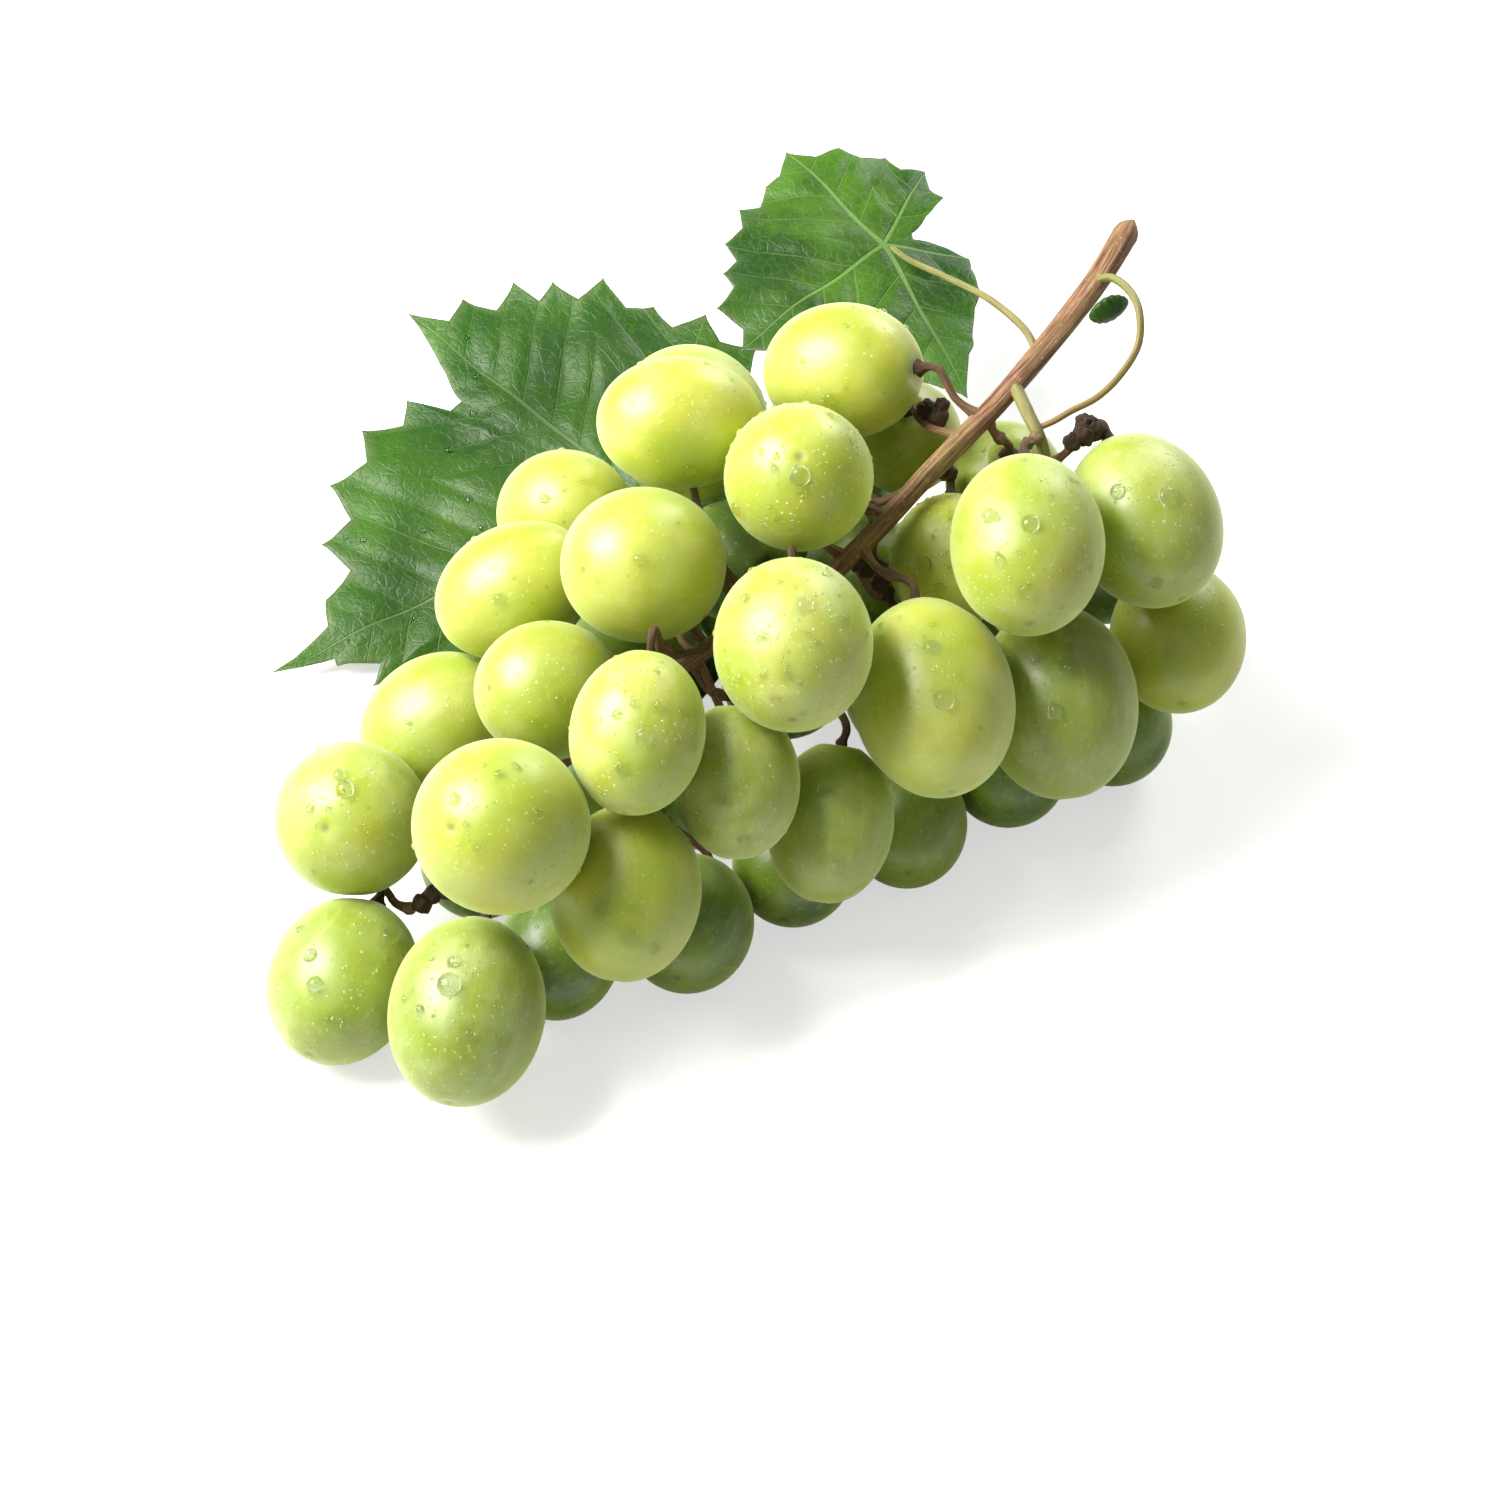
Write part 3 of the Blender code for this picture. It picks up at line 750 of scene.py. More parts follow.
def berry_stalk(k):
    """Route, radii and warts of berry k's stalk: a swollen foot in the wood, a thin neck, a cushion."""
    end = CENTRES[k] - AXES[k] * (HALF_LENGTH[k] - STALK_SUNK)
    knee = CENTRES[k] - AXES[k] * (HALF_LENGTH[k] + TOUCH_GAP + STALK_KNEE)
    root = wood[np.linalg.norm(wood[:, :3] - knee, axis=1).argmin(), :3]
    outward = unit(knee - root)
    lean = np.cross(outward, np.cross(STALK_BOW_SIDE, outward))
    bow = lean * STALK_BOW * np.linalg.norm(knee - root)
    middle = (root + knee) / 2 - bow
    route = smooth_route([root, middle, knee, end], STALK_STEPS // 3)
    share = np.linspace(0, 1, len(route))
    length = np.linalg.norm(np.diff(route, axis=0), axis=1).sum()
    near_foot = np.exp(-((share * length / 1.9) ** 2))
    to_end = (1 - share) * length
    cushion = np.exp(-(((to_end - 0.5) / 1.15) ** 2))
    knuckle = 0.35 * np.exp(-(((to_end - 0.55 * length) / 0.8) ** 2))
    radius = 0.56 + 0.55 * near_foot + 0.95 * cushion + knuckle * (dice.random() > 0.45)
    return route, rounded(radius), 0.05 + 0.11 * cushion + 0.2 * knuckle


branches = [
    tube_surface(main[:, :3], rounded(main[:, 3] * THINNER), AROUND_BRANCH, 0.055, 0.012, 0.4),
    tube_surface(shoulder[:, :3], rounded(shoulder[:, 3] * THINNER), AROUND_BRANCH, 0.05, 0.02, 1.9),
]
for k in range(len(CENTRES)):
    route, radius, warts = berry_stalk(k)
    branches.append(tube_surface(route, radius, AROUND_BRANCH, 0.045, warts, 0.7 * k))
print("branches and stalks:", len(branches))

# %% [markdown]
# ## Dark knots
#
# Where berries were picked off or never grew, dry black-brown knots are left on the stem. Each is a
# small group of rough beads. A bead is a small ball whose radius has strong waves in both ways.

# %% Knots
KNOTS = [
    ((53.6, 3.0, 51.4), 1.3),
    ((55.6, 3.3, 51.6), 1.6),
    ((57.4, 3.9, 51.3), 1.8),
    ((56.4, 4.6, 52.6), 1.2),
    ((40.5, 17.4, 50.5), 1.5),
    ((40.2, 19.8, 50.0), 1.5),
    ((41.6, 18.2, 51.6), 1.1),
    ((38.4, 11.9, 45.8), 1.3),
    ((39.5, 12.6, 44.0), 1.2),
    ((20.6, 5.9, 42.0), 1.4),
    ((21.7, 5.5, 40.2), 1.3),
    ((23.6, 4.6, 37.0), 1.4),
    ((24.4, 4.2, 35.2), 1.2),
    ((-51.0, 2.0, 14.8), 1.4),
    ((-49.4, 2.0, 15.7), 1.3),
    ((-47.8, 0.5, 16.8), 1.1),
]
BEAD_RINGS = 14


def bead_surface(centre, size, seed):
    """Rings of one rough bead: a ball whose radius has waves round it and from end to end."""
    angle = np.linspace(0.12, math.pi - 0.12, BEAD_RINGS)[:, None]
    turn = np.linspace(0, 2 * math.pi, AROUND_BRANCH, endpoint=False)[None, :]
    bumps = 1 + 0.14 * np.cos(3 * turn + seed) * np.cos(4 * angle + seed)
    bumps = bumps + 0.08 * np.cos(5 * turn - 2 * seed) * np.cos(7 * angle)
    radius = size * bumps * np.sin(angle)
    points = np.stack([radius * np.cos(turn), radius * np.sin(turn), size * bumps * np.cos(angle)], axis=-1)
    return points[::-1] + np.array(centre) + SHIFT, points[::-1] * 0.6 + seed


beads = [bead_surface(centre, size, 1.3 * k) for k, (centre, size) in enumerate(KNOTS)]
stem_points, stem_faces, stem_fibre = joined(branches + beads, AROUND_BRANCH)
print("stem:", len(stem_faces), "faces")

# %% Dryness along the stem
bead_count = len(beads) * (BEAD_RINGS * AROUND_BRANCH + 2)
dry = np.zeros(len(stem_points))
dry[-bead_count:] = 1.0
young = np.zeros(len(stem_points))
start = 0
for number, (rings, _) in enumerate(branches):
    count = rings.shape[0] * rings.shape[1] + 2
    share = np.repeat(np.linspace(0, 1, rings.shape[0]), rings.shape[1])
    if number == 1:
        young[start : start + count - 2] = (1 - share) ** 0.5
    if number > 1:
        dry[start : start + count - 2] = 0.45 + 0.50 * share**2
        dry[start + count - 2 : start + count] = (0.15, 0.9)
    start += count
print("share of dry points:", (dry > 0.5).mean().round(2))

# %% [markdown]
# ## Bark of the stem
#
# The bark is tan with a hint of pink, and streaked lengthwise with darker cracks. The stalks grow
# darker towards their cushions, and the dry knots are nearly black.

# %% Bark material
BARK_DARK = (0.18, 0.080, 0.042, 1)
BARK_LIGHT = (0.43, 0.24, 0.135, 1)
BARK_MOSS = (0.36, 0.30, 0.10, 1)
BARK_CRACK = (0.11, 0.045, 0.02, 1)
BARK_DOT = (0.55, 0.38, 0.22, 1)
BARK_YOUNG = (0.30, 0.33, 0.11, 1)
BARK_DRY = (0.055, 0.030, 0.016, 1)

bark, tree, shader = new_material("stem_bark")
fibre = own_value(tree, "fibre", "Vector")
dryness = own_value(tree, "dryness")
streak = fibre_streaks(tree, fibre, (2.6, 2.6, 0.55), 1.6, 6.0, 0.62)
crack = remap(tree, fibre_streaks(tree, fibre, (7.0, 7.0, 0.8), 1.5, 4.0, 0.6), 0.36, 0.48)
tone = blend(tree, remap(tree, streak, 0.35, 0.66), BARK_DARK, BARK_LIGHT)
moss = cloud_mask(tree, object_place(tree), 150.0, 3.0, 0.45, 0.7, most=0.5)
tone = blend(tree, moss, tone, BARK_MOSS)
crack_depth = math_node(tree, "MULTIPLY", math_node(tree, "SUBTRACT", 1.0, crack), 0.55)
tone = blend(tree, crack_depth, tone, BARK_CRACK)
dots = add_node(tree, "ShaderNodeTexVoronoi", Vector=object_place(tree), Scale=900.0).outputs["Distance"]
dot_mask = math_node(tree, "MULTIPLY", math_node(tree, "LESS_THAN", dots, 0.2), 0.35)
tone = blend(tree, dot_mask, tone, BARK_DOT)
tone = blend(tree, math_node(tree, "MULTIPLY", own_value(tree, "young"), 0.75), tone, BARK_YOUNG)
tone = blend(tree, remap(tree, dryness, 0.25, 0.95), tone, BARK_DRY)
rough = math_node(tree, "ADD", math_node(tree, "MULTIPLY", streak, 0.3), 0.42)
relief = math_node(tree, "ADD", math_node(tree, "MULTIPLY", crack, 0.7), streak)
grain = noise(tree, object_place(tree), 1500.0, 3.0)
relief = math_node(tree, "ADD", relief, math_node(tree, "MULTIPLY", grain, 0.4))
bump = add_node(tree, "ShaderNodeBump", Strength=0.7, Distance=0.00025, Height=relief)
connect(tree, shader, Base_Color=tone, Roughness=rough, Normal=bump.outputs[0], Specular_IOR_Level=0.35)

stem_values = {"fibre": stem_fibre, "dryness": dry, "young": young}
stem = make_piece("woody_stem", stem_points, stem_faces, bark, stem_values)
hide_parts("stem")
print("stem nodes:", len(tree.nodes))

# %% [markdown]
# ## Vine leaves
#
# A vine leaf has five lobes with sharp teeth. Five main veins fan out from where its stalk joins, and
# side veins leave each of them in a herringbone. The blade bulges a little between the veins. A leaf
# here is a disc of rings that grow to the toothed outline, first under its lower face and then back
# over its upper face. Every point knows how far along and how far aside of its nearest main vein it
# lies, and both the bulges and the veins' colour follow from those two numbers.

# %% Leaf outlines and veins
LARGE_LEAF_HEADING = 176
LARGE_LEAF_JOINT = (14.6, 57.9)
LARGE_LEAF_TEETH = [
    (-178, 8), (-165, 24), (-150, 31), (-133, 33), (-119, 34), (-107, 38.5), (-96, 40), (-89, 43.5),
    (-79, 45.5), (-70, 49.5), (-61, 33), (-55, 40.5), (-45, 44.5), (-31, 46.5), (-19, 47.5), (-8, 48.5),
    (0.5, 60), (4, 51), (10, 48), (15, 43), (24, 39), (42, 35), (54, 33), (66, 37), (80, 32), (95, 30),
    (112, 28), (130, 26), (148, 24), (165, 19), (178, 8),
]
LARGE_LEAF_VEINS = [(-133, 33), (-70, 49.5), (0.5, 60), (66, 37), (130, 26)]
SMALL_LEAF_HEADING = 176
SMALL_LEAF_JOINT = (66, 74)
SMALL_LEAF_TEETH = [
    (-176, 5), (-158, 14), (-138, 18), (-118, 20), (-98, 21), (-80, 25), (-62, 22), (-44, 23), (-26, 24),
    (-12, 25), (0, 28), (16, 29), (32, 28), (48, 25), (64, 26), (88, 30), (101, 22), (122, 17), (150, 13),
    (176, 5),
]
SMALL_LEAF_VEINS = [(-138, 18), (-80, 25), (16, 29), (88, 30), (150, 13)]
LEAF_CLEARANCE = 1.2
LEAF_COLUMNS = 420
LEAF_RINGS = 62
NOTCH_DEPTH = 0.085
TOOTH_CURVE = 0.72
BLADE_HALF = 0.16
BLADE_BULGE = 0.34
SIDE_VEIN_STEP = 6.2
SIDE_VEIN_SLANT = 0.75


def large_leaf_height(x, y):
    """The large leaf slopes up away from the bunch and lies on the surface under it."""
    slope = 12 + 0.17 * (x - LARGE_LEAF_JOINT[0]) + 0.156 * (y - LARGE_LEAF_JOINT[1])
    slope = slope - 0.6 * np.maximum(0, LARGE_LEAF_JOINT[1] - 4 - y)
    return LEAF_CLEARANCE + 1.2 * np.logaddexp(0, (slope - LEAF_CLEARANCE) / 1.2)


def small_leaf_height(x, y):
    """The small leaf hangs from its stalk, its lobes a little lower than its middle."""
    away = np.hypot(x - SMALL_LEAF_JOINT[0], y - SMALL_LEAF_JOINT[1])
    return 26 + 0.1 * (y - SMALL_LEAF_JOINT[1]) - 0.002 * away**2


def leaf_outline(teeth):
    """Angles and distances of the outline: a notch between each two teeth, nearer the second of them."""
    tips = np.array(teeth, dtype=float)
    between = tips[:-1] + np.array([0.6, 0.5]) * np.diff(tips, axis=0)
    between[:, 1] *= 1 - NOTCH_DEPTH
    outline = np.empty((2 * len(tips) - 1, 2))
    outline[0::2] = tips
    outline[1::2] = between
    return outline


def leaf_surface(teeth, veins, heading, joint, height, wave):
    """Rings of a leaf over its upper and lower face, with each point's place beside its nearest main vein."""
    outline = leaf_outline(teeth)
    even = np.linspace(outline[0, 0], outline[-1, 0], LEAF_COLUMNS)
    angles = np.unique(np.concatenate([even, outline[:, 0], [vein[0] for vein in veins]]))
    step = np.interp(angles, outline[:, 0], np.arange(len(outline)))
    part = np.minimum(step.astype(int), len(outline) - 2)
    from_tip = np.where(part % 2 == 0, step - part, 1 - step + part)
    tip = np.where(part % 2 == 0, outline[part, 1], outline[part + 1, 1])
    notch = np.where(part % 2 == 0, outline[part + 1, 1], outline[part, 1])
    reach = tip + (notch - tip) * from_tip**TOOTH_CURVE
    share = np.linspace(0.02, 1, LEAF_RINGS)[:, None]
    away = share * reach[None, :]
    turn = np.radians(angles + heading)[None, :]
    x = joint[0] + away * np.cos(turn)
    y = joint[1] + away * np.sin(turn)
    off = np.radians(np.abs(angles[:, None] - np.array([vein[0] for vein in veins])[None]))
    nearest = off.min(axis=1)[None, :]
    along = away * np.cos(np.minimum(nearest, math.pi / 2))
    aside = away * np.sin(np.minimum(nearest, math.pi / 2))
    side_vein = (along - SIDE_VEIN_SLANT * aside + 0.8 * np.sin(0.31 * x) * np.cos(0.27 * y)) / SIDE_VEIN_STEP
    cell = np.abs(side_vein - np.round(side_vein)) * SIDE_VEIN_STEP
    off_side_vein = 1 - np.exp(-((cell / 1.1) ** 2))
    off_main_vein = 1 - np.exp(-((aside / 1.4) ** 2))
    bulge = BLADE_BULGE * off_side_vein * off_main_vein * (1 - 0.5 * share**4)
    ruffle = wave * share**3 * (np.sin(5 * turn + 0.8) + 0.5 * np.sin(11 * turn))
    ruffle = ruffle + 0.45 * np.sin(0.36 * x) * np.cos(0.31 * y)
    level = height(x, y) + bulge + ruffle
    taper = BLADE_HALF * (1.05 - 0.55 * share**6)
    low = np.maximum(level - taper, 0.15)
    upper = np.stack([x, y, low + 2 * taper], axis=-1)
    lower = np.stack([x, y, low], axis=-1)
    rings = np.concatenate([lower, upper[::-1]])
    blade = np.stack([along, aside, share + 0 * along], axis=-1)
    return rings + SHIFT, np.concatenate([blade, blade[::-1]])


# %% Leaf material
LEAF_SHADE = (0.012, 0.048, 0.003, 1)
LEAF_SUN = (0.056, 0.140, 0.006, 1)
LEAF_PALE = (0.12, 0.25, 0.045, 1)
LEAF_VEIN = (0.24, 0.40, 0.11, 1)
LEAF_DEEP = (0.012, 0.050, 0.004, 1)
LEAF_EDGE = (0.10, 0.12, 0.06, 1)

leaf, tree, shader = new_material("vine_leaf")
blade = add_node(tree, "ShaderNodeSeparateXYZ", i0=own_value(tree, "blade", "Vector"))
along, aside, share = blade.outputs
place = object_place(tree)
wander = math_node(tree, "MULTIPLY", math_node(tree, "SUBTRACT", noise(tree, place, 90.0, 3.0), 0.5), 1.4)
slanted = math_node(tree, "SUBTRACT", along, math_node(tree, "MULTIPLY", aside, SIDE_VEIN_SLANT))
step = math_node(tree, "DIVIDE", math_node(tree, "ADD", slanted, wander), SIDE_VEIN_STEP)
off_vein = math_node(tree, "ABSOLUTE", math_node(tree, "SUBTRACT", step, math_node(tree, "ROUND", step)))
cell = math_node(tree, "MULTIPLY", off_vein, SIDE_VEIN_STEP)
side_vein = remap(tree, cell, 0.05, 0.24, 0.55, 0.0)
main_width = math_node(tree, "SUBTRACT", 0.42, math_node(tree, "MULTIPLY", share, 0.30))
main_vein = remap(tree, math_node(tree, "DIVIDE", aside, main_width), 0.6, 1.3, 1.0, 0.0)
fine = add_node(tree, "ShaderNodeTexVoronoi", Vector=place, Scale=620.0)
fine.feature = "DISTANCE_TO_EDGE"
fine_vein = remap(tree, fine.outputs["Distance"], 0.02, 0.10, 0.13, 0.0)
veins = math_node(tree, "MAXIMUM", math_node(tree, "MAXIMUM", side_vein, main_vein), fine_vein)
patches = cloud_mask(tree, place, 60.0, 5.0, 0.35, 0.65)
green = blend(tree, patches, LEAF_SHADE, LEAF_SUN)
pale = cloud_mask(tree, place, 38.0, 3.0, 0.52, 0.75, most=0.45)
green = blend(tree, pale, green, LEAF_PALE)
green = blend(tree, math_node(tree, "MULTIPLY", veins, 0.45), green, LEAF_VEIN)
deep = cloud_mask(tree, place, 26.0, 2.0, 0.40, 0.62, most=0.55)
green = blend(tree, deep, green, LEAF_DEEP)
edge = remap(tree, share, 0.94, 1.0, 0.0, 0.5)
green = blend(tree, edge, green, LEAF_EDGE)
rough = math_node(tree, "ADD", math_node(tree, "MULTIPLY", noise(tree, place, 220.0, 3.0), 0.3), 0.28)
relief = math_node(tree, "SUBTRACT", noise(tree, place, 700.0, 4.0), math_node(tree, "MULTIPLY", veins, 1.2))
bump = add_node(tree, "ShaderNodeBump", Strength=0.8, Distance=0.00022, Height=relief)
connect(
    tree, shader, Base_Color=green, Roughness=rough, Normal=bump.outputs[0], Subsurface_Weight=0.25,
    Subsurface_Radius=(0.0008, 0.0016, 0.0004), Subsurface_Scale=1.0, Specular_IOR_Level=0.32,
    Sheen_Weight=0.05, Sheen_Roughness=0.4, Sheen_Tint=(0.8, 1.0, 0.9, 1),
)
print("leaf nodes:", len(tree.nodes))

# %% Make the leaves
LEAVES = [
    (
        "vine_leaf_large", LARGE_LEAF_TEETH, LARGE_LEAF_VEINS, LARGE_LEAF_HEADING, LARGE_LEAF_JOINT,
        large_leaf_height, 0.9,
    ),
    (
        "vine_leaf_small", SMALL_LEAF_TEETH, SMALL_LEAF_VEINS, SMALL_LEAF_HEADING, SMALL_LEAF_JOINT,
        small_leaf_height, 0.6,
    ),
]
for (name, *facts), node in zip(LEAVES, ("leaf_large", "leaf_small")):
    rings, blade = leaf_surface(*facts)
    faces = ring_faces(rings.shape[0], rings.shape[1])
    piece = make_piece(name, with_poles(rings), faces, leaf, {"blade": with_poles(blade)})
    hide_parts(node)
    print(name, "faces:", len(faces))

# %% [markdown]
# ## Leaf stalks, tendril and leaflet
#
# These are young shoots, still green and supple. They turn reddish brown where the sun and the air have
# dried them. They are plain tubes with fine grooves, and the leaflet is a small folded blade.

# %% Green shoots
SHOOT_DARK = (0.13, 0.15, 0.04, 1)
SHOOT_LIGHT = (0.32, 0.36, 0.11, 1)
SHOOT_DRY = (0.30, 0.12, 0.05, 1)
SHOOT_STEPS = 18
SHOOT_SIDES = 20

shoot, tree, shader = new_material("green_shoot")
fibre = own_value(tree, "fibre", "Vector")
streak = fibre_streaks(tree, fibre, (3.0, 3.0, 0.4), 2.0, 4.0)
tone = blend(tree, remap(tree, streak, 0.35, 0.65), SHOOT_DARK, SHOOT_LIGHT)
tone = blend(tree, math_node(tree, "MULTIPLY", own_value(tree, "dryness"), 0.85), tone, SHOOT_DRY)
bump = add_node(tree, "ShaderNodeBump", Strength=0.5, Distance=0.0002, Height=streak)
connect(
    tree, shader, Base_Color=tone, Roughness=remap(tree, streak, 0.3, 0.7, 0.38, 0.6), Normal=bump.outputs[0],
    Subsurface_Weight=0.3, Subsurface_Radius=(0.0008, 0.0010, 0.0003), Subsurface_Scale=1.0,
)


def shoot_piece(name, node, foot, points, radii, dryness):
    """A green shoot from its foot in the wood along a route, whose radius and dryness run evenly along it."""
    route = smooth_route([foot, *points], SHOOT_STEPS) + SHIFT
    share = np.linspace(0, 1, len(route))
    radius = rounded(radii[0] + (radii[1] - radii[0]) * share)
    rings, own = tube_surface(route, radius, SHOOT_SIDES, 0.05, 0.01, len(points))
    dry = np.repeat(dryness[0] + (dryness[1] - dryness[0]) * share, SHOOT_SIDES)
    values = {"fibre": with_poles(own), "dryness": np.append(dry, dryness)}
    faces = ring_faces(len(rings), SHOOT_SIDES)
    piece = make_piece(name, with_poles(rings), faces, shoot, values)
    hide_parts(node)


SHOOTS = [
    ("large_leaf_stalk", "leaf_large_stalk", (24.5, 7.4, 45.3), LARGE_LEAF_STALK, (0.80, 0.70), (0.4, 0.1)),
    ("small_leaf_stalk", "leaf_small_stalk", (55.2, 15.4, 57.8), SMALL_LEAF_STALK, (0.55, 0.42), (0.45, 0.1)),
    ("curled_tendril", "tendril", (67.6, 20.0, 61.8), TENDRIL, (0.62, 0.42), (0.05, 0.9)),
]
for facts in SHOOTS:
    shoot_piece(*facts)
print("shoots:", len(SHOOTS))

# %% Leaflet
LEAFLET_MIDDLE = (66, 14, 62)
LEAFLET_HALF = (3.3, 1.55, 2.3)
LEAFLET_RINGS = 40
LEAFLET_SIDES = 48


def leaflet_surface():
    """Rings of the leaflet: a pointed egg, pinched across, with a fold along its length."""
    angle = np.linspace(0.06, math.pi - 0.06, LEAFLET_RINGS)[:, None]
    turn = np.linspace(0, 2 * math.pi, LEAFLET_SIDES, endpoint=False)[None, :]
    width = np.sin(angle) ** 1.4
    y = LEAFLET_HALF[1] * width * np.cos(turn) * (1 - 0.35 * np.abs(np.sin(turn)))
    z = LEAFLET_HALF[2] * width * np.sin(turn) * (1 + 0.05 * np.cos(18 * angle))
    rings = np.stack([-LEAFLET_HALF[0] * np.cos(angle) + 0 * turn, y, z], axis=-1)
    own = np.stack([8 + 6 * np.cos(angle) + 0 * turn, np.abs(z), 0.3 + 0.6 * width + 0 * turn], axis=-1)
    return rings + np.array(LEAFLET_MIDDLE) + SHIFT, own


rings, own = leaflet_surface()
values = {"blade": with_poles(own)}
faces = ring_faces(LEAFLET_RINGS, LEAFLET_SIDES)
leaflet = make_piece("young_leaflet", with_poles(rings), faces, leaf, values)
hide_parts("leaflet")
print("leaflet faces:", len(faces))

# %% [markdown]
# ## Drops of water
#
# The bunch has just been rinsed. A few big drops stand on the berries and many small ones lie between
# them. A drop is a low dome of clear water with its rim a hair below the skin. The big ones are listed
# as steps to the right and up from a berry's middle as seen from the camera. The small ones are
# thrown at random on the skin that faces up, and those that fall between berries are left out.

# %% Where the big drops stand
BIG_DROPS = [
    (24, -0.1, 2.4, 1.20), (24, -0.7, -6.7, 0.95), (24, -5.5, 3.6, 1.05), (24, -4.2, -2.4, 0.70),
    (25, 2.4, 2.9, 1.30), (25, -4.4, 3.6, 1.05), (25, 1.1, -9.0, 0.80), (13, 0.1, -0.3, 1.30),
    (13, -8.3, -4.5, 0.95), (13, 0.5, -2.6, 0.65), (13, -3.3, 0.5, 0.55), (16, 1.5, 5.1, 1.10),
    (16, -6.4, 5.9, 0.80), (16, -2.4, -7.4, 0.70), (16, -4.4, 0.5, 0.55), (20, -0.5, 6.7, 1.10),
    (20, 1.1, -0.4, 1.30), (20, -7.2, 7.8, 0.80), (20, 3.2, -8.4, 0.70), (20, -4.2, 1.0, 0.55),
    (27, 1.0, 4.8, 1.10), (27, -1.0, -1.5, 1.10), (27, 6.7, -8.0, 0.95), (27, -3.8, 5.8, 0.70),
    (26, -1.9, -1.9, 0.80), (15, 1.1, -0.6, 1.10), (15, 3.1, 3.7, 0.80), (15, -1.9, -4.9, 0.70),
    (15, -2.5, 2.4, 0.70), (4, -5.6, 3.6, 0.85), (4, -2.3, -2.9, 0.70), (4, 5.5, 1.7, 0.70),
    (4, 0.2, 6.9, 0.70), (3, -0.2, 4.1, 1.20), (3, -1.0, 6.1, 0.95), (3, -5.0, 1.3, 0.70),
    (1, -3.8, 3.9, 0.95), (1, -3.0, -0.1, 1.10), (1, 6.8, 6.2, 1.10), (1, -0.3, -5.1, 0.95),
    (1, -5.5, 7.2, 0.70), (2, -1.8, 4.1, 1.55), (2, -1.2, 7.1, 0.95), (2, 1.0, -2.5, 0.70),
    (2, -5.8, 0.7, 0.70), (17, -3.4, -2.0, 0.80), (17, 0.6, -5.7, 0.95), (17, 3.9, -7.4, 0.70),
    (19, -0.9, 4.6, 0.95), (19, 1.1, -6.0, 0.95), (18, 1.1, -7.8, 0.70), (18, -2.3, -2.4, 0.70),
    (21, -4.0, -0.7, 0.95), (21, -6.7, 2.1, 0.70), (21, -1.9, -4.2, 0.85), (14, -2.0, -4.5, 0.85),
    (10, 1.4, -6.9, 0.85), (9, -0.3, 0.3, 0.85), (8, -1.7, -1.5, 0.80), (12, -2.5, 1.6, 0.70),
    (7, 1.8, -1.4, 0.80),
]
SMALL_DROPS = 900
MISTED = {13: 5.0, 16: 5.0, 21: 9.0, 15: 2.5, 3: 2.5, 24: 2.0, 20: 2.0, 4: 2.0, 2: 2.0}
LEAF_DROPS = 110
DROP_RINGS = 5
DROP_HEIGHT = 0.72
BIG_SCALE = 1.15
DROP_SIDES = 10
DROP_SUNK = 0.05


def touch(piece, origin, towards):
    """Where a straight line first meets a piece, in millimetres, and the surface's direction there."""
    hit, place, normal, _ = piece.ray_cast(Vector(origin) * MM, Vector(towards))
    return (np.array(place) / MM, np.array(normal)) if hit else None


def buried(point, owner):
    """True where another berry covers the point."""
    others = np.delete(np.arange(len(CENTRES)), owner)
    offset = point - CENTRES[others]
    lean = np.einsum("ij,ij->i", offset, AXES[others])
    beside = np.sqrt(np.maximum(0, (offset**2).sum(axis=1) - lean**2))
    grown = (lean / (HALF_LENGTH[others] + 1.0)) ** 2 + (beside / (HALF_WIDTH[others] + 1.0)) ** 2
    return grown.min() < 1


berries = {name: bpy.data.objects[f"grape_{name[-2:]}"] for name in berry_nodes}
bpy.context.view_layer.update()
right, up, back = (np.array(v) for v in (RIGHT, UP, BACK))
drops = []
for number, aside, above, size in BIG_DROPS:
    start = CENTRES[number - 1] + aside * right + above * up + 40 * back
    found = touch(berries[f"berry_{number:02d}"], start, -back)
    if found:
        drops.append((*found, BIG_SCALE * size))
share = np.array([MISTED.get(k + 1, 1.0) for k in range(len(CENTRES))])
share = share * (CENTRES[:, 2] > 14)
owners = dice.choice(len(CENTRES), size=SMALL_DROPS, p=share / share.sum())
for k, direction in zip(owners, unit(dice.normal(size=(SMALL_DROPS, 3)) + np.array([0.0, -0.3, 0.9]))):
    found = touch(berries[berry_nodes[k]], CENTRES[k] + 40 * direction, -direction)
    if found and not buried(found[0], k):
        drops.append((*found, float(0.20 + 0.42 * dice.random() ** 2.5)))
blade_piece = bpy.data.objects["vine_leaf_large"]
for x, y in dice.uniform((-52, 8), (5, 60), size=(LEAF_DROPS, 2)):
    found = touch(blade_piece, (x, y, 60), (0, 0, -1))
    if found:
        drops.append((*found, float(0.2 + 0.5 * dice.random() ** 2)))
print("drops:", len(drops))


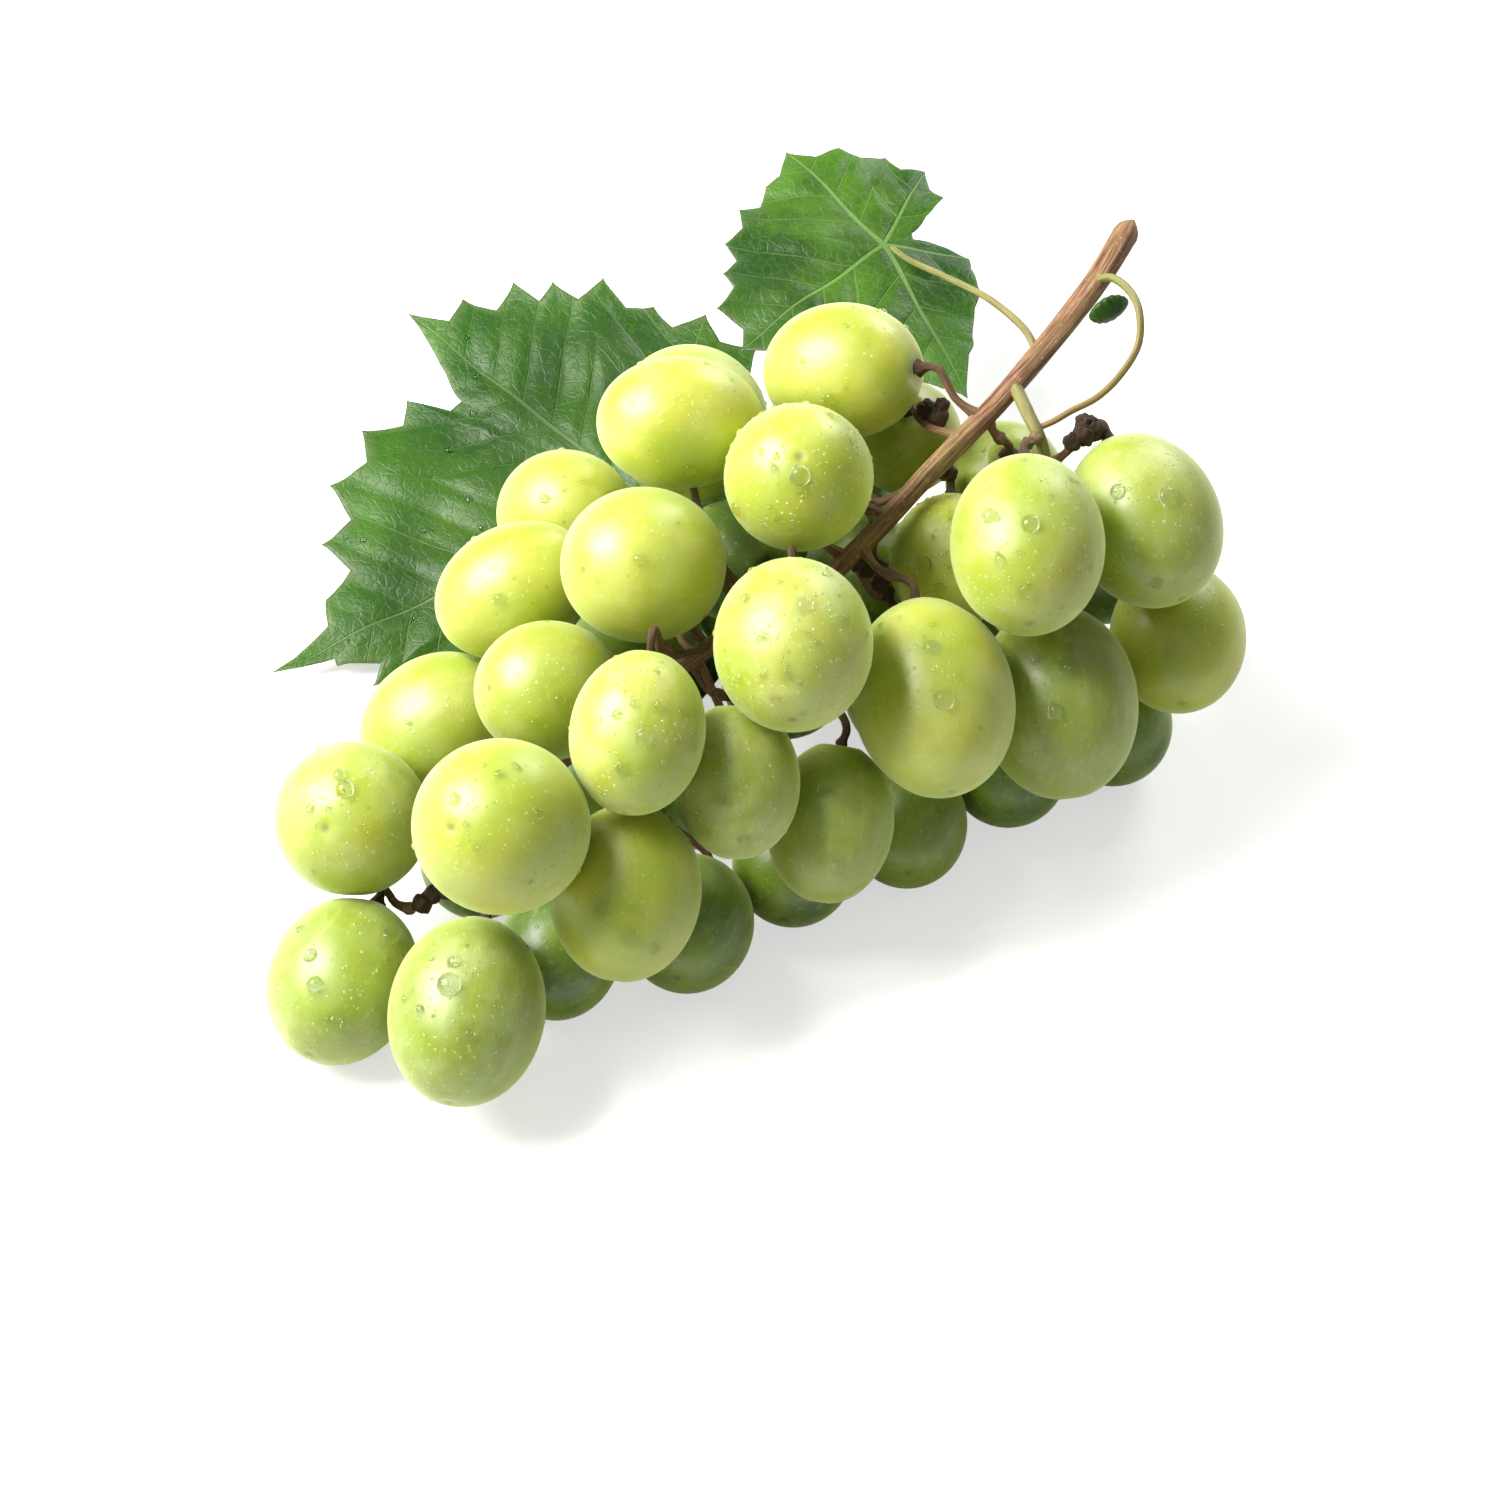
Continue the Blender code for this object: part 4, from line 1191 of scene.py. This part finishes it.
# %% Drop surface
def drop_rings(places, normals, sizes):
    """Rings of all drops at once: a dome whose height falls as the root of one less the distance squared.

    Each dome is a little less high than it is wide from middle to rim. Its rim stands a hair below the
    skin, and it is closed underneath.
    """
    away = np.array([1.0, 0.95, 0.78, 0.5, 0.25])
    height = DROP_HEIGHT * np.sqrt(1 - away**2)
    turn = np.linspace(0, 2 * math.pi, DROP_SIDES, endpoint=False)
    side, up = across(normals)
    spin = np.cos(turn)[None, None, :, None] * side[:, None, None]
    spin = spin + np.sin(turn)[None, None, :, None] * up[:, None, None]
    rise = (height[None, :] * sizes[:, None] - DROP_SUNK)[..., None, None] * normals[:, None, None]
    return places[:, None, None] + spin * (away[None, :] * sizes[:, None])[..., None, None] + rise


def inside_box(place, normal, size):
    """True where the whole drop stays in the box of the solids."""
    top = (place + normal * size) * MM
    return all(PART_BOX[0][k] + size * MM < top[k] < PART_BOX[1][k] - size * MM for k in range(3))


drops = [drop for drop in drops if inside_box(*drop)]
places, normals, sizes = (np.array([drop[k] for drop in drops]) for k in range(3))
rings = drop_rings(places, normals, sizes)
tops = places + normals * (DROP_HEIGHT * sizes - DROP_SUNK)[:, None]
bottoms = places - normals * 0.08
domes = rings.reshape(len(drops), -1, 3)
points = np.concatenate([domes, bottoms[:, None], tops[:, None]], axis=1).reshape(-1, 3)
faces = []
each = DROP_RINGS * DROP_SIDES + 2
for k in range(len(drops)):
    faces += ring_faces(DROP_RINGS, DROP_SIDES, k * each)

water, tree, shader = new_material("clear_water")
ripple = noise(tree, object_place(tree), 400.0, 2.0)
bump = add_node(tree, "ShaderNodeBump", Strength=0.15, Distance=0.0001, Height=ripple)
tint = blend(tree, ripple, (0.97, 1.0, 0.97, 1), (1.0, 1.0, 1.0, 1))
connect(
    tree, shader, Base_Color=tint, Roughness=remap(tree, ripple, 0.3, 0.7, 0.01, 0.05),
    Normal=bump.outputs[0], IOR=1.33, Transmission_Weight=1.0,
)
water_piece = make_piece("water_drops", points, faces, water)
print("drop faces:", len(faces))
